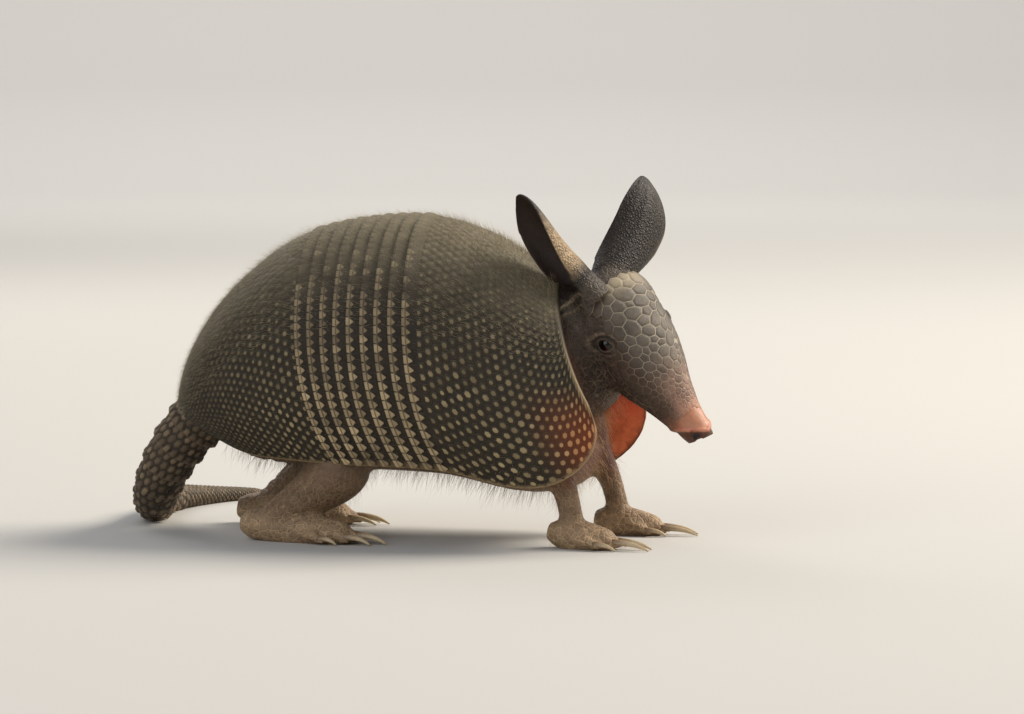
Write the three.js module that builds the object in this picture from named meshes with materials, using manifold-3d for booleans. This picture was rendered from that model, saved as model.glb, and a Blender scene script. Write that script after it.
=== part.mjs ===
// A nine-banded armadillo at life size, walking with its nose to the ground.
// Millimetres. +X runs towards the head, +Y to the animal's left, +Z up; the floor is z = 0.
import * as THREE from "three";
import { mergeVertices } from "three/addons/utils/BufferGeometryUtils.js";
import Module from "manifold-3d";

const wasm = await Module();
wasm.setup();

// ---------------------------------------------------------------- driving dimensions
const GAP = 0.4; // clear space between two neighbouring pieces
const GROW = 0.35; // how much larger a piece is made when it cuts its neighbour
const SLIVER = 0.03; // smallest detail a cut may leave

// Carapace. s is the distance along the ridge of the back from the tail notch to the neck.
// Each row is a cross-section: x, z place the middle of its base, lean tips it backwards,
// height and half are its height above that base and its half width.
const SHELL_SECTIONS = [
  { s: 0, x: -91.5, z: 54, lean: 60, height: 30, half: 42 },
  { s: 10, x: -85, z: 49.5, lean: 50, height: 42, half: 47 },
  { s: 34, x: -71.5, z: 45, lean: 36, height: 66, half: 54 },
  { s: 79, x: -54.5, z: 42.5, lean: 18, height: 95.5, half: 60 },
  { s: 123, x: -36, z: 41, lean: 4.5, height: 117.5, half: 62 },
  { s: 182, x: 20, z: 39, lean: 3.5, height: 127, half: 63 },
  { s: 220, x: 66, z: 31, lean: 8, height: 126.5, half: 60 },
  { s: 265, x: 120.5, z: 44.5, lean: 21, height: 97, half: 57 },
];
const SHELL_END = 265; // front rim
const PELVIC_END = 123; // front edge of the pelvic shield
const SHOULDER_START = 182; // rear edge of the shoulder shield
const BANDS = 8;
const BASE_ANGLE = 125 * (Math.PI / 180); // where a section meets its base, from the ridge
const SHELL_THICK = 3;
const BAND_STEP = 1.1; // how far a band's rear edge stands proud of the next band
const SWEEP = 14; // how far the lower ends of the bands lean forwards
const LOBE_LENGTH = 42; // rounded front corners of the shoulder shield
const LOBE_ANGLE = 33 * (Math.PI / 180);
const HIP_LENGTH = 22; // rounded rear corners of the pelvic shield
const HIP_ANGLE = 24 * (Math.PI / 180);
const AROUND = 18; // facets over a section
const PITCH = (SHOULDER_START - PELVIC_END) / BANDS;
const PELVIC_ROWS = [0, 6, 18, 40, 70, 98, PELVIC_END - GAP];
const SHOULDER_ROWS = [SHOULDER_START, 210, 236, 248, 258, SHELL_END];

// Head, in its own frame: the nose is at the origin and the skull runs along -X.
// d is the distance behind the nose, half the half width, top and bottom the outline.
const HEAD_SECTIONS = [
  { s: -2, half: 5.6, top: 9.4, bottom: -1 },
  { s: 0, half: 7.6, top: 10.4, bottom: -5 },
  { s: 3, half: 8.3, top: 10.8, bottom: -6.4 },
  { s: 10, half: 9.0, top: 11.0, bottom: -8.4 },
  { s: 20, half: 10.6, top: 11.8, bottom: -11.8 },
  { s: 30, half: 13.4, top: 14.0, bottom: -15.6 },
  { s: 42, half: 18.0, top: 17.8, bottom: -20.2 },
  { s: 56, half: 22.2, top: 20.5, bottom: -22.8 },
  { s: 72, half: 24.2, top: 22.0, bottom: -23.2 },
  { s: 88, half: 22.6, top: 22.4, bottom: -20 },
  { s: 99, half: 15.5, top: 16.2, bottom: -13 },
  { s: 104, half: 7, top: 8, bottom: -6 },
];
const NOSE_AT = [159.5, -11, 53];
const HEAD_TURN = [29, 52, -11]; // roll, pitch down and yaw, in degrees
const NOSE_CUT = 12; // length of the bare nose pad
const PAD_LEAN = -15 * (Math.PI / 180); // the pad reaches further back on top
const NOSE_TILT = 20 * (Math.PI / 180); // the nose's flat end looks forward and down
const NOSE_FLAT = -1.8; // where that flat end crosses the head's axis
const NOSTRIL = { forward: -1.6, out: 5.4, up: 5.2, radius: 2.4 };
const EYE = { back: 65.2, lift: 22 * (Math.PI / 180), radius: 4.9, sunk: 3.4 };
const CROWN = { from: 27, to: 97, angle: 53 * (Math.PI / 180), thick: 1.5 }; // head shield
const EAR = { narrow: 0.36, thick: 1.3, up: 15, sway: -5.5, bow: 0.7 };
// Each ear is turned by itself: its root, the way it points and the way its opening faces.
// roll and open up are the turns of its rolled foot and of its open tip, in degrees.
const EARS = {
  right: { back: 101, out: 12.6, length: 59, half: 18.2, along: [-0.588, -0.269, 0.763],
    open: [-0.41, -0.64, -0.64], roll: 92, cup: 48, ease: 1 },
  left: { back: 97, out: 6.3, length: 64, half: 16.8, along: [0.101, 0.629, 0.771],
    open: [-0.77, 0.54, -0.34], roll: 100, cup: 37, ease: 2.2 },
};

// Tail: its route over the floor, and its radius at each distance s from the root.
const TAIL_ROUTE = [
  [-97, 0, 70], [-112, 0, 57.5], [-125, 2, 42.5], [-135.5, 9, 27.5],
  [-144, 23, 15], [-151, 44], [-157, 73], [-157, 101], [-151, 128], [-141, 151], [-130, 167],
];
const TAIL_RADII = [
  { s: 0, radius: 16.5 }, { s: 60, radius: 12.6 }, { s: 120, radius: 9 },
  { s: 160, radius: 6.9 }, { s: 210, radius: 4.1 }, { s: 262, radius: 1.5 },
];
const TAIL_RINGS = 12;
const TAIL_RINGED = 156; // length under bony rings
const TAIL_REST = 0.95; // height of the tail's middle over the floor, in radii

// Legs: joints from inside the trunk to the ankle, each with its radius, and where the foot stands.
const LEGS = {
  front_right: { joints: [[84, -29, 60, 12], [88, -33, 44, 9.4], [95, -35, 28, 6.6], [99, -35, 10, 6.2]],
    foot: [98, -35], yaw: -6, kind: "front" },
  front_left: { joints: [[88, 29, 60, 12], [93, 33, 44, 9], [101, 35, 28, 6.2], [106, 35, 10, 6]],
    foot: [105, 35], yaw: 4, kind: "front" },
  hind_right: { joints: [[-27, -30, 56, 18], [-23, -37, 38, 16], [-39, -39, 24, 12], [-57, -39, 11, 9.4]],
    foot: [-60, -39], yaw: -8, kind: "hind" },
  hind_left: { joints: [[-54, 30, 58, 18], [-51, 37, 40, 16], [-67, 39, 24, 12], [-84, 39, 11, 9.4]],
    foot: [-87, 39], yaw: 8, kind: "hind" },
};
// Toes: across from the foot's middle line, forward root, length, radius and claw length.
const FEET = {
  front: {
    sole: { from: -7, to: 17, half: 10.5, height: 13.5 },
    toes: [[-8.6, 9, 9, 3.0, 9], [-3.2, 14, 11, 3.5, 17], [3.2, 14, 11, 3.5, 16], [8.8, 8, 9, 3.0, 8]],
  },
  hind: {
    sole: { from: -10, to: 38, half: 11.5, height: 15 },
    toes: [[-10.4, 26, 9, 3, 8], [-5.4, 34, 12, 3.6, 13], [0, 37, 13, 3.9, 15], [5.4, 34, 12, 3.6, 13],
      [10.4, 26, 9, 3, 8]],
  },
};

const COLOURS = {
  shell: 0x4d463b, skin: 0x6a5a4e, nose: 0xe0a58c, eye: 0x0d0a08, claw: 0xb9a78a, tail: 0x4a4238,
};

// ---------------------------------------------------------------- small tools
const V = (x = 0, y = 0, z = 0) => new THREE.Vector3(x, y, z);
const DEG = Math.PI / 180;
const count = (n) => Array.from({ length: n }, (_, i) => i);
const clamp = THREE.MathUtils.clamp;

// A value read from a table of sections by smooth interpolation.
function read(table, key, s) {
  const last = table.length - 1;
  let i = 0;
  while (i < last - 1 && s > table[i + 1].s) i++;
  const slope = (k) => {
    const before = table[Math.max(0, k - 1)];
    const after = table[Math.min(last, k + 1)];
    return (after[key] - before[key]) / (after.s - before.s);
  };
  const width = table[i + 1].s - table[i].s;
  const t = clamp((s - table[i].s) / width, 0, 1);
  const rise = table[i + 1][key] - table[i][key];
  const bend = t * t * (3 - 2 * t);
  return table[i][key] + rise * bend
    + width * (slope(i) * t * (1 - t) ** 2 - slope(i + 1) * t * t * (1 - t));
}

// A closed geometry from points and triangles, turned to face outwards.
function closed(points, triangles) {
  let volume = 0;
  for (const [a, b, c] of triangles) volume += points[a].dot(V().crossVectors(points[b], points[c]));
  const geometry = new THREE.BufferGeometry().setFromPoints(points);
  geometry.setIndex(triangles.flatMap(([a, b, c]) => (volume < 0 ? [a, c, b] : [a, b, c])));
  return geometry;
}

// A skin over a row of rings, closed at both ends.
function loft(rings) {
  const sides = rings[0].length;
  const points = rings.flat();
  const triangles = [];
  for (let i = 0; i + 1 < rings.length; i++)
    for (let j = 0; j < sides; j++) {
      const a = i * sides + j;
      const b = i * sides + ((j + 1) % sides);
      triangles.push([a, b, b + sides], [a, b + sides, a + sides]);
    }
  for (const end of [0, rings.length - 1]) {
    const middle = rings[end].reduce((sum, p) => sum.add(p), V()).divideScalar(sides);
    const c = points.push(middle) - 1;
    for (let j = 0; j < sides; j++) {
      const a = end * sides + j;
      const b = end * sides + ((j + 1) % sides);
      triangles.push(end ? [a, b, c] : [b, a, c]);
    }
  }
  return closed(points, triangles);
}

// A thick sheet between two grids of points with the same rows and columns.
function plate(outer, inner) {
  const rows = outer.length;
  const columns = outer[0].length;
  const under = rows * columns;
  const points = [...outer.flat(), ...inner.flat()];
  const triangles = [];
  for (let i = 0; i + 1 < rows; i++)
    for (let j = 0; j + 1 < columns; j++) {
      const a = i * columns + j;
      const d = a + columns + 1;
      triangles.push([a, a + 1, d], [a, d, a + columns]);
      triangles.push([under + a, under + d, under + a + 1], [under + a, under + a + columns, under + d]);
    }
  const rim = [
    ...count(columns - 1).map((j) => j),
    ...count(rows - 1).map((i) => i * columns + columns - 1),
    ...count(columns - 1).map((j) => rows * columns - 1 - j),
    ...count(rows - 1).map((i) => (rows - 1 - i) * columns),
  ];
  rim.forEach((p, k) => {
    const q = rim[(k + 1) % rim.length];
    triangles.push([q, p, p + under], [q, p + under, q + under]);
  });
  return closed(points, triangles);
}

function solid(geometry) {
  const bare = new THREE.BufferGeometry().setAttribute("position", geometry.getAttribute("position"));
  bare.setIndex(geometry.index);
  const merged = mergeVertices(bare, 1e-4);
  return new wasm.Manifold(new wasm.Mesh({
    numProp: 3,
    vertProperties: merged.attributes.position.array,
    triVerts: new Uint32Array(merged.index.array),
  }));
}

// A solid's geometry, without the slivers that cuts leave.
function geometryOf(made) {
  const mesh = made.simplify(SLIVER).getMesh();
  return new THREE.BufferGeometry()
    .setAttribute("position", new THREE.BufferAttribute(mesh.vertProperties, 3))
    .setIndex(new THREE.BufferAttribute(mesh.triVerts, 1));
}

const cut = (geometry, ...tools) =>
  geometryOf(tools.reduce((made, tool) => made.subtract(solid(tool)), solid(geometry)));
const common = (a, b) => geometryOf(solid(a).intersect(solid(b)));
const join = (...pieces) => geometryOf(pieces.map(solid).reduce((a, b) => a.add(b)));
const placed = (geometry, group) => {
  group.updateMatrix();
  return geometry.clone().applyMatrix4(group.matrix);
};
// What lies above the floor, so that feet and tail stand on small flats.
const FLOOR = new THREE.BoxGeometry(900, 900, 100).translate(0, 0, -50);

// A tapering tube along joints [x, y, z, radius], with rounded ends.
function limb(joints, sides, rings, grow = 0) {
  const path = new THREE.CatmullRomCurve3(joints.map(([x, y, z]) => V(x, y, z)));
  const radii = joints.map(([, , , radius], i) => ({ s: i / (joints.length - 1), radius: radius + grow }));
  const made = [];
  const ring = (at, along, radius) => {
    const ahead = path.getTangent(at).normalize();
    const side = V(0, 0, 1).cross(ahead).lengthSq() > 0.02 ? V(0, 0, 1).cross(ahead) : V(0, 1, 0);
    side.normalize();
    const up = ahead.clone().cross(side);
    const middle = path.getPoint(at).addScaledVector(ahead, along);
    made.push(count(sides).map((j) => {
      const turn = (2 * Math.PI * j) / sides;
      return middle.clone()
        .addScaledVector(side, radius * Math.cos(turn))
        .addScaledVector(up, radius * Math.sin(turn));
    }));
  };
  const first = radii[0].radius;
  const final = radii[radii.length - 1].radius;
  ring(0, -0.75 * first, 0.6 * first);
  for (const i of count(rings + 1)) ring(i / rings, 0, read(radii, "radius", i / rings));
  ring(1, 0.55 * final, 0.82 * final);
  ring(1, 0.9 * final, 0.45 * final);
  return loft(made);
}

// ---------------------------------------------------------------- carapace and trunk
// A point on the carapace at distance s and angle a from the ridge, moved out by `out`.
function shellPoint(s, a, out = 0) {
  const value = (key) => read(SHELL_SECTIONS, key, s);
  const lean = value("lean") * DEG;
  const share = (Math.cos(a) - Math.cos(BASE_ANGLE)) / (1 - Math.cos(BASE_ANGLE));
  const rise = (value("height") + out) * share;
  const sweep = SWEEP * THREE.MathUtils.smoothstep(s, 40, PELVIC_END) * (1 - share) ** 4;
  return V(
    value("x") - rise * Math.sin(lean) + sweep,
    (value("half") + out) * Math.sin(a),
    value("z") + rise * Math.cos(lean),
  );
}

// The angle at which the carapace ends, smaller at its rounded corners.
function rimAngle(s) {
  const corner = (t) => 1 - Math.sqrt(1 - clamp(t, 0, 1) ** 2);
  return BASE_ANGLE
    - LOBE_ANGLE * corner((s - SHELL_END + LOBE_LENGTH) / LOBE_LENGTH)
    - HIP_ANGLE * corner((HIP_LENGTH - s) / HIP_LENGTH);
}

const shellRow = (s, out) => count(AROUND + 1).map((j) =>
  shellPoint(s, rimAngle(s) * ((2 * j) / AROUND - 1), out));

// A plate of shell over the given rows; its outer face rises by `step` at the rear edge.
function shellPlate(rows, step, grow = 0) {
  const last = rows.length - 1;
  const at = rows.map((s, i) => s + (i === 0 ? -grow : i === last ? grow : 0));
  const rise = (s) => step * clamp(1 - (s - rows[0]) / PITCH, 0, 1);
  return plate(
    at.map((s) => shellRow(s, rise(s) + grow)),
    at.map((s) => shellRow(s, -SHELL_THICK - grow)),
  );
}

// The flesh under the carapace, with the belly closing each ring.
function trunk(grow = 0) {
  const depth = -SHELL_THICK - 2.2 * GAP + grow;
  const sag = 5 + grow;
  const belly = 5;
  const ring = (s, shrink, ahead) => {
    const over = count(AROUND + 1).map((j) => shellPoint(s, BASE_ANGLE * ((2 * j) / AROUND - 1), depth));
    const lean = read(SHELL_SECTIONS, "lean", s) * DEG;
    const left = over[AROUND];
    const under = count(belly).map((j) => {
      const turn = (Math.PI * (j + 1)) / (belly + 1);
      const drop = sag * Math.sin(turn);
      return V(left.x + drop * Math.sin(lean), left.y * Math.cos(turn), left.z - drop * Math.cos(lean));
    });
    const points = [...over, ...under];
    const middle = points.reduce((sum, p) => sum.add(p), V()).divideScalar(points.length);
    return points.map((p) => p.sub(middle).multiplyScalar(shrink).add(middle).add(V(ahead, 0, 0)));
  };
  const rings = [ring(1 - grow, 0.8, -1.5 - grow), ring(3 - grow, 1, 0)];
  for (const s of [18, 40, 70, 98, PELVIC_END, 152, SHOULDER_START, 208, 226]) rings.push(ring(s, 1, 0));
  rings.push(ring(234 + grow, 0.92, 0), ring(239 + grow, 0.74, 0));
  return loft(rings);
}

// Everything inside the outline of carapace and belly: the legs start below it.
function carcass() {
  const ring = (s) => {
    const over = count(AROUND + 1).map((j) => shellPoint(s, BASE_ANGLE * ((2 * j) / AROUND - 1), GROW));
    const left = over[AROUND];
    const lean = read(SHELL_SECTIONS, "lean", s) * DEG;
    const sag = 5 + GROW;
    const under = count(5).map((j) => {
      const turn = (Math.PI * (j + 1)) / 6;
      const drop = sag * Math.sin(turn);
      return V(left.x + drop * Math.sin(lean), left.y * Math.cos(turn), left.z - drop * Math.cos(lean));
    });
    return [...over, ...under];
  };
  return loft([-1, ...PELVIC_ROWS.slice(1), 152, ...SHOULDER_ROWS].map(ring));
}

// ---------------------------------------------------------------- head
// A point of the head d behind the nose, at angle a from the animal's left, moved out by `out`.
function headPoint(d, a, out = 0) {
  const top = read(HEAD_SECTIONS, "top", d);
  const bottom = read(HEAD_SECTIONS, "bottom", d);
  const round = (value) => Math.sign(value) * Math.abs(value) ** 0.92;
  const reach = (top - bottom) / 2 + out;
  return V(-d, (read(HEAD_SECTIONS, "half", d) + out) * round(Math.cos(a)),
    (top + bottom) / 2 + reach * round(Math.sin(a)));
}

const HEAD_SIDES = 14;
function headWhole(grow = 0) {
  const stops = [-2, 0, 4, 14, 24, 34, 46, 58, 70, 82, 92, 100, 104];
  return loft(stops.map((d, i) => {
    const end = i === 0 ? grow : i === stops.length - 1 ? -grow : 0;
    return count(HEAD_SIDES).map((j) =>
      headPoint(d, (2 * Math.PI * j) / HEAD_SIDES, grow).add(V(end, 0, 0)));
  }));
}

// The head shield: from the middle of the snout to the nape, over the top of the head.
function crownShield(outer, inner, grow = 0) {
  const rows = 6;
  const columns = 6;
  const grid = (out) => count(rows + 1).map((i) => {
    const share = i / rows;
    const d = CROWN.from - grow + (CROWN.to - CROWN.from + 2 * grow) * share;
    const spread = (CROWN.angle + grow / 20) * Math.sqrt(Math.max(0.02, 1 - (2 * share - 1) ** 4 * 0.75));
    return count(columns + 1).map((j) =>
      headPoint(d, Math.PI / 2 + spread * (1 - (2 * j) / columns), out));
  });
  return plate(grid(outer), grid(inner));
}

// The lower jaw's side outline, as a wedge across the head.
function jawWedge(grow = 0) {
  const outline = new THREE.Shape([
    [-NOSE_CUT + 3, -30], [-NOSE_CUT + 3, -4.6], [-26, -6.4], [-46, -9.6], [-66, -13], [-70, -30],
  ].map(([x, z]) => new THREE.Vector2(x + (x > -20 ? grow : x < -60 ? -grow : 0), z + (z > -20 ? grow : 0))));
  return new THREE.ExtrudeGeometry(outline, { depth: 80, bevelEnabled: false, curveSegments: 4 })
    .rotateX(Math.PI / 2).translate(0, 40, 0);
}

// A slab in front of the slanting line between nose pad and snout.
function noseSlab(from, to) {
  return new THREE.BoxGeometry(to - from, 60, 80)
    .translate((from + to) / 2, 0, 0).rotateY(PAD_LEAN);
}

function eyeCentre(side) {
  const at = headPoint(EYE.back, EYE.lift, -EYE.sunk);
  return V(at.x, side * at.y, at.z);
}

// A cupped leaf, rolled at its foot and open on the side that faces `open`.
function ear(side, place, turn) {
  const along = V(...place.along).normalize().applyQuaternion(turn);
  const open = V(...place.open).applyQuaternion(turn);
  open.addScaledVector(along, -open.dot(along)).normalize();
  const across = along.clone().cross(open);
  const root = V(-place.back, side * place.out, EAR.up).addScaledVector(along, -5);
  const rows = 8;
  const columns = 6;
  const grid = (out) => count(rows + 1).map((i) => {
    const u = i / rows;
    const tip = (1 - clamp((u - 0.6) / 0.4, 0, 1) ** 1.8) ** 0.65;
    const half = place.half * (1 - EAR.narrow * u) * tip + 0.3;
    const curl = (place.roll * (1 - u) ** place.ease + place.cup) * DEG;
    const radius = half / curl * 1.25;
    const middle = Math.sin(Math.PI * u);
    return count(columns + 1).map((j) => {
      const angle = curl * ((2 * j) / columns - 1);
      const depth = radius * (1 - Math.cos(angle));
      return root.clone()
        .addScaledVector(along, place.length * u)
        .addScaledVector(across, (radius + out) * Math.sin(angle) + EAR.sway * middle)
        .addScaledVector(open, depth - radius * 0.35 - out * Math.cos(angle) - EAR.bow * middle);
    });
  });
  return plate(grid(EAR.thick / 2), grid(-EAR.thick / 2));
}

// ---------------------------------------------------------------- neck
// The neck is a thick stump low down, with a nape that fills the mouth of the shell.
function neck(grow = 0) {
  const throat = limb([[66, 0, 88, 38], [84, 0, 95, 37], [97, -1, 104, 32], [107, -2, 110, 21]], 12, 3, grow);
  const nape = limb([[70, -4, 94, 33], [84, -6, 104, 29], [97, -8, 115, 23], [103, -8, 119, 14]], 12, 3, grow);
  return join(throat, nape);
}

// ---------------------------------------------------------------- tail
function tailCurve() {
  const flat = new THREE.CatmullRomCurve3(TAIL_ROUTE.map(([x, y, z = 0]) => V(x, y, z)));
  const lengths = flat.getLengths(TAIL_ROUTE.length - 1);
  return new THREE.CatmullRomCurve3(TAIL_ROUTE.map(([x, y, z], i) =>
    V(x, y, z ?? TAIL_REST * read(TAIL_RADII, "radius", lengths[i]))));
}

function tailPiece(curve, stops, sides = 10) {
  const length = curve.getLength();
  return loft(stops.map(([s, share]) => {
    const at = clamp(s / length, 0, 1);
    const ahead = curve.getTangentAt(at).normalize();
    const side = V(0, 0, 1).cross(ahead).normalize();
    const up = ahead.clone().cross(side);
    const radius = read(TAIL_RADII, "radius", s) * share;
    return count(sides).map((j) => {
      const turn = (2 * Math.PI * (j + 0.5)) / sides;
      return curve.getPointAt(at)
        .addScaledVector(side, radius * Math.cos(turn))
        .addScaledVector(up, radius * Math.sin(turn));
    });
  }));
}

// ---------------------------------------------------------------- feet
const soleJoints = ({ from, to, half, height }) => [
  [from, 0, height * 0.55, half * 0.72], [(from + to) / 2, 0, height * 0.42, half * 0.86],
  [to, 0, height * 0.3, half * 0.7],
];
// A toe: small rings from inside the foot to a rounded end.
function toe([across, start, length, radius], grow) {
  const rings = [
    [start - 5, across * 0.8, radius + 1.8, 0.9],
    [start + length * 0.5, across * 1.1, radius + 1, 1], [start + length, across * 1.18, radius * 0.8, 0.74],
    [start + length + radius * 0.4, across * 1.2, radius * 0.7, 0.4],
  ];
  return loft(rings.map(([x, y, z, share], i) => count(6).map((j) => {
    const turn = (Math.PI * (j + 0.5)) / 3;
    const reach = radius * share + grow;
    return V(x + (i === 3 ? grow : 0), y + reach * Math.cos(turn), z + reach * Math.sin(turn));
  })));
}

function foot(shape, grow = 0) {
  const pieces = [limb(soleJoints(shape.sole), 8, 2, grow),
    ...shape.toes.map((row) => toe(row, grow))];
  return join(...pieces);
}

// A curved claw from inside the end of its toe down to the floor.
function claw([across, start, length, radius, reach]) {
  const from = start + length;
  const path = new THREE.QuadraticBezierCurve3(
    V(from - 2, across * 1.17, radius * 0.95), V(from + reach * 0.55, across * 1.24, radius * 1.15),
    V(from + reach, across * 1.26, 0.5));
  const shares = [1, 0.75, 0.2];
  return loft(shares.map((share, i) => {
    const at = path.getPoint(i / (shares.length - 1));
    const ahead = path.getTangent(i / (shares.length - 1));
    const side = V(0, 0, 1).cross(ahead).normalize();
    const up = ahead.cross(side);
    return count(5).map((j) => {
      const turn = (2 * Math.PI * (j + 0.25)) / 5;
      return at.clone()
        .addScaledVector(side, radius * 0.58 * share * Math.cos(turn))
        .addScaledVector(up, radius * 0.66 * share * Math.sin(turn));
    });
  }));
}

// ---------------------------------------------------------------- assembly
const materials = Object.fromEntries(Object.entries(COLOURS).map(([name, color]) =>
  [name, new THREE.MeshStandardMaterial({ color, roughness: name === "eye" ? 0.15 : 0.75, metalness: 0 })]));

function add(group, name, geometry, material) {
  const mesh = new THREE.Mesh(geometry, materials[material]);
  mesh.name = name;
  group.add(mesh);
}

const body = new THREE.Group();

function addCarapace() {
  add(body, "pelvic_shield", shellPlate(PELVIC_ROWS, 0), "shell");
  for (const i of count(BANDS)) {
    const from = PELVIC_END + PITCH * i;
    add(body, `band_${BANDS - i}`, shellPlate([from, from + PITCH - GAP], BAND_STEP), "shell");
  }
  add(body, "shoulder_shield", shellPlate(SHOULDER_ROWS, BAND_STEP), "shell");
}

function addHead() {
  const head = new THREE.Group();
  head.position.set(...NOSE_AT);
  head.rotation.set(...HEAD_TURN.map((angle) => angle * DEG), "ZYX");
  body.add(head);
  const sockets = [1, -1].map((side) => {
    const at = eyeCentre(side);
    return new THREE.SphereGeometry(EYE.radius + GROW, 10, 6).translate(at.x, at.y, at.z);
  });
  const behind = noseSlab(-NOSE_CUT - GAP, 40);
  const skull = cut(headWhole(), jawWedge(GAP), behind, crownShield(5, -CROWN.thick - GROW, 0.6), ...sockets);
  add(head, "head", skull, "skin");
  add(head, "lower_jaw", cut(common(headWhole(-0.7), jawWedge()), behind), "skin");
  const nostrils = [1, -1].map((side) =>
    new THREE.SphereGeometry(NOSTRIL.radius, 6, 3).scale(1.3, 0.8, 1)
      .translate(NOSTRIL.forward, side * NOSTRIL.out, NOSTRIL.up));
  const tip = new THREE.BoxGeometry(24, 60, 60).translate(12, 0, 0).rotateY(NOSE_TILT).translate(NOSE_FLAT, 0, 0);
  const pad = common(headWhole(), noseSlab(-NOSE_CUT, 40));
  add(head, "nose_pad", cut(pad, tip, ...nostrils), "nose");
  add(head, "head_shield", crownShield(0, -CROWN.thick), "shell");
  const shoulder = shellPlate(SHOULDER_ROWS, BAND_STEP, GROW);
  for (const [name, side] of [["left", 1], ["right", -1]]) {
    const eye = new THREE.Mesh(new THREE.SphereGeometry(EYE.radius, 10, 6), materials.eye);
    eye.name = `eye_${name}`;
    eye.position.copy(eyeCentre(side));
    head.add(eye);
    const blade = cut(ear(side, EARS[name], head.quaternion.clone().invert()),
      headWhole(GROW + 0.2), crownShield(GROW, -3, GROW));
    add(body, `ear_${name}`, cut(placed(blade, head), shoulder, neck(GROW)), "skin");
  }
  add(body, "neck", cut(neck(), trunk(GROW), shoulder, placed(headWhole(GROW), head)), "skin");
}

function addTail() {
  const curve = tailCurve();
  const inside = carcass();
  const pitch = TAIL_RINGED / TAIL_RINGS;
  for (const i of count(TAIL_RINGS)) {
    const from = i * pitch;
    const to = from + pitch - GAP;
    const piece = tailPiece(curve, [[from, 0.94], [to - 1.5, 1.03], [to, 1]]);
    add(body, `tail_ring_${i + 1}`, i < 3 ? cut(piece, inside, trunk(GROW)) : cut(piece, FLOOR), "tail");
  }
  const end = Math.min(curve.getLength(), TAIL_RADII.at(-1).s);
  const stops = count(7).map((i) => [TAIL_RINGED + ((end - TAIL_RINGED) * i) / 6, i === 6 ? 0.6 : 0.97]);
  add(body, "tail_tip", cut(tailPiece(curve, stops, 8), FLOOR), "tail");
}

function addLegs() {
  const inside = carcass();
  for (const [name, leg] of Object.entries(LEGS)) {
    const stand = new THREE.Group();
    stand.position.set(...leg.foot, 0);
    stand.rotation.z = leg.yaw * DEG;
    body.add(stand);
    const shape = FEET[leg.kind];
    add(stand, `foot_${name}`, cut(foot(shape), FLOOR), "skin");
    const grown = foot(shape, GROW);
    shape.toes.forEach((row, i) => add(stand, `claw_${name}_${i + 1}`, cut(claw(row), grown, FLOOR), "claw"));
    add(body, `leg_${name}`, cut(limb(leg.joints, 10, 4), inside, trunk(GROW), placed(grown, stand), FLOOR), "skin");
  }
}

add(body, "trunk", trunk(), "skin");
addCarapace();
addHead();
addTail();
addLegs();

// The origin is on the floor, under the middle of the whole animal.
body.updateMatrixWorld(true);
const bounds = new THREE.Box3().setFromObject(body, true);
const middle = bounds.getCenter(V());
body.position.set(-middle.x, -middle.y, -bounds.min.z);

const armadillo = new THREE.Group();
armadillo.add(body);
export default armadillo;
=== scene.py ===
# %% [markdown]
# # A nine-banded armadillo, walking
# A life-size model in Blender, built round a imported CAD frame. The bony shell is made as flat
# sheets of scutes that are bent over the back; one skin covers the head, neck, belly, legs and ears.
# Each step below says what the piece is, how it could be made, and why it is made this way.

# %% Load the frame and keep its box
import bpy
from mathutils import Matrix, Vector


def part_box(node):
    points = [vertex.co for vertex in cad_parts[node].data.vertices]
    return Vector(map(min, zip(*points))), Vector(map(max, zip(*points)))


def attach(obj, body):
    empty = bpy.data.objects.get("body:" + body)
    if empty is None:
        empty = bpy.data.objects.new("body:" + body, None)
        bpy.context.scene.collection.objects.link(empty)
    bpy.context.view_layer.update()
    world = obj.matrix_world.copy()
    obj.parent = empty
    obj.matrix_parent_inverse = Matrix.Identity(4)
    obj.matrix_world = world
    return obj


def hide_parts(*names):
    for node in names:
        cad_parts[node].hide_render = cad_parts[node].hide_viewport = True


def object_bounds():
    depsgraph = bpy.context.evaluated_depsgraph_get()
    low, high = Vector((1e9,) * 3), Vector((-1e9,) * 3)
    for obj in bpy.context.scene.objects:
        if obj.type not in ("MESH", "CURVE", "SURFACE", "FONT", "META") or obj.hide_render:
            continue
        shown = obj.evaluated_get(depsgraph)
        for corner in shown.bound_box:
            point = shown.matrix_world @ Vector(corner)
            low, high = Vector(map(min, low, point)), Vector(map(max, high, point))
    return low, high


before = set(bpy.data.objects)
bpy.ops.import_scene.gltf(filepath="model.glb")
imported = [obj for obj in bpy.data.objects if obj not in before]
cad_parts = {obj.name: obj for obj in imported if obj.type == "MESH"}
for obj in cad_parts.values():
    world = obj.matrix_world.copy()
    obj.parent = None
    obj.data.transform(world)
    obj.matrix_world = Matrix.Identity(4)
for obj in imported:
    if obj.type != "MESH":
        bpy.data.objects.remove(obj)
cad_box = [list(corner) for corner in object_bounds()]

import math

import bpy
import numpy as np
from mathutils import Matrix, Vector
from mathutils import noise as chance
from mathutils.geometry import delaunay_2d_cdt

MM = 0.001  # one millimetre in Blender's metres
print("cad box", cad_box)

# %% [markdown]
# ## Small helpers
# An operator works on whatever is selected, so each helper first clears the selection, holds one
# piece, and selects points, edges or faces by a rule. Sheets are modelled flat in millimetres, and
# moved to their place as arrays of points, because that is quick and repeatable.

# %% Helpers for selecting and shaping
rng = np.random.default_rng(7)
SELECT_MODES = {"points": (True, False, False), "edges": (False, True, False), "faces": (False, False, True)}


def clear():
    """Nothing is selected, and Blender is in object mode."""
    if bpy.context.object and bpy.context.object.mode != "OBJECT":
        bpy.ops.object.mode_set(mode="OBJECT")
    bpy.ops.object.select_all(action="DESELECT")


def hold(piece):
    """Only this piece is selected and active."""
    clear()
    piece.select_set(True)
    bpy.context.view_layer.objects.active = piece


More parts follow.
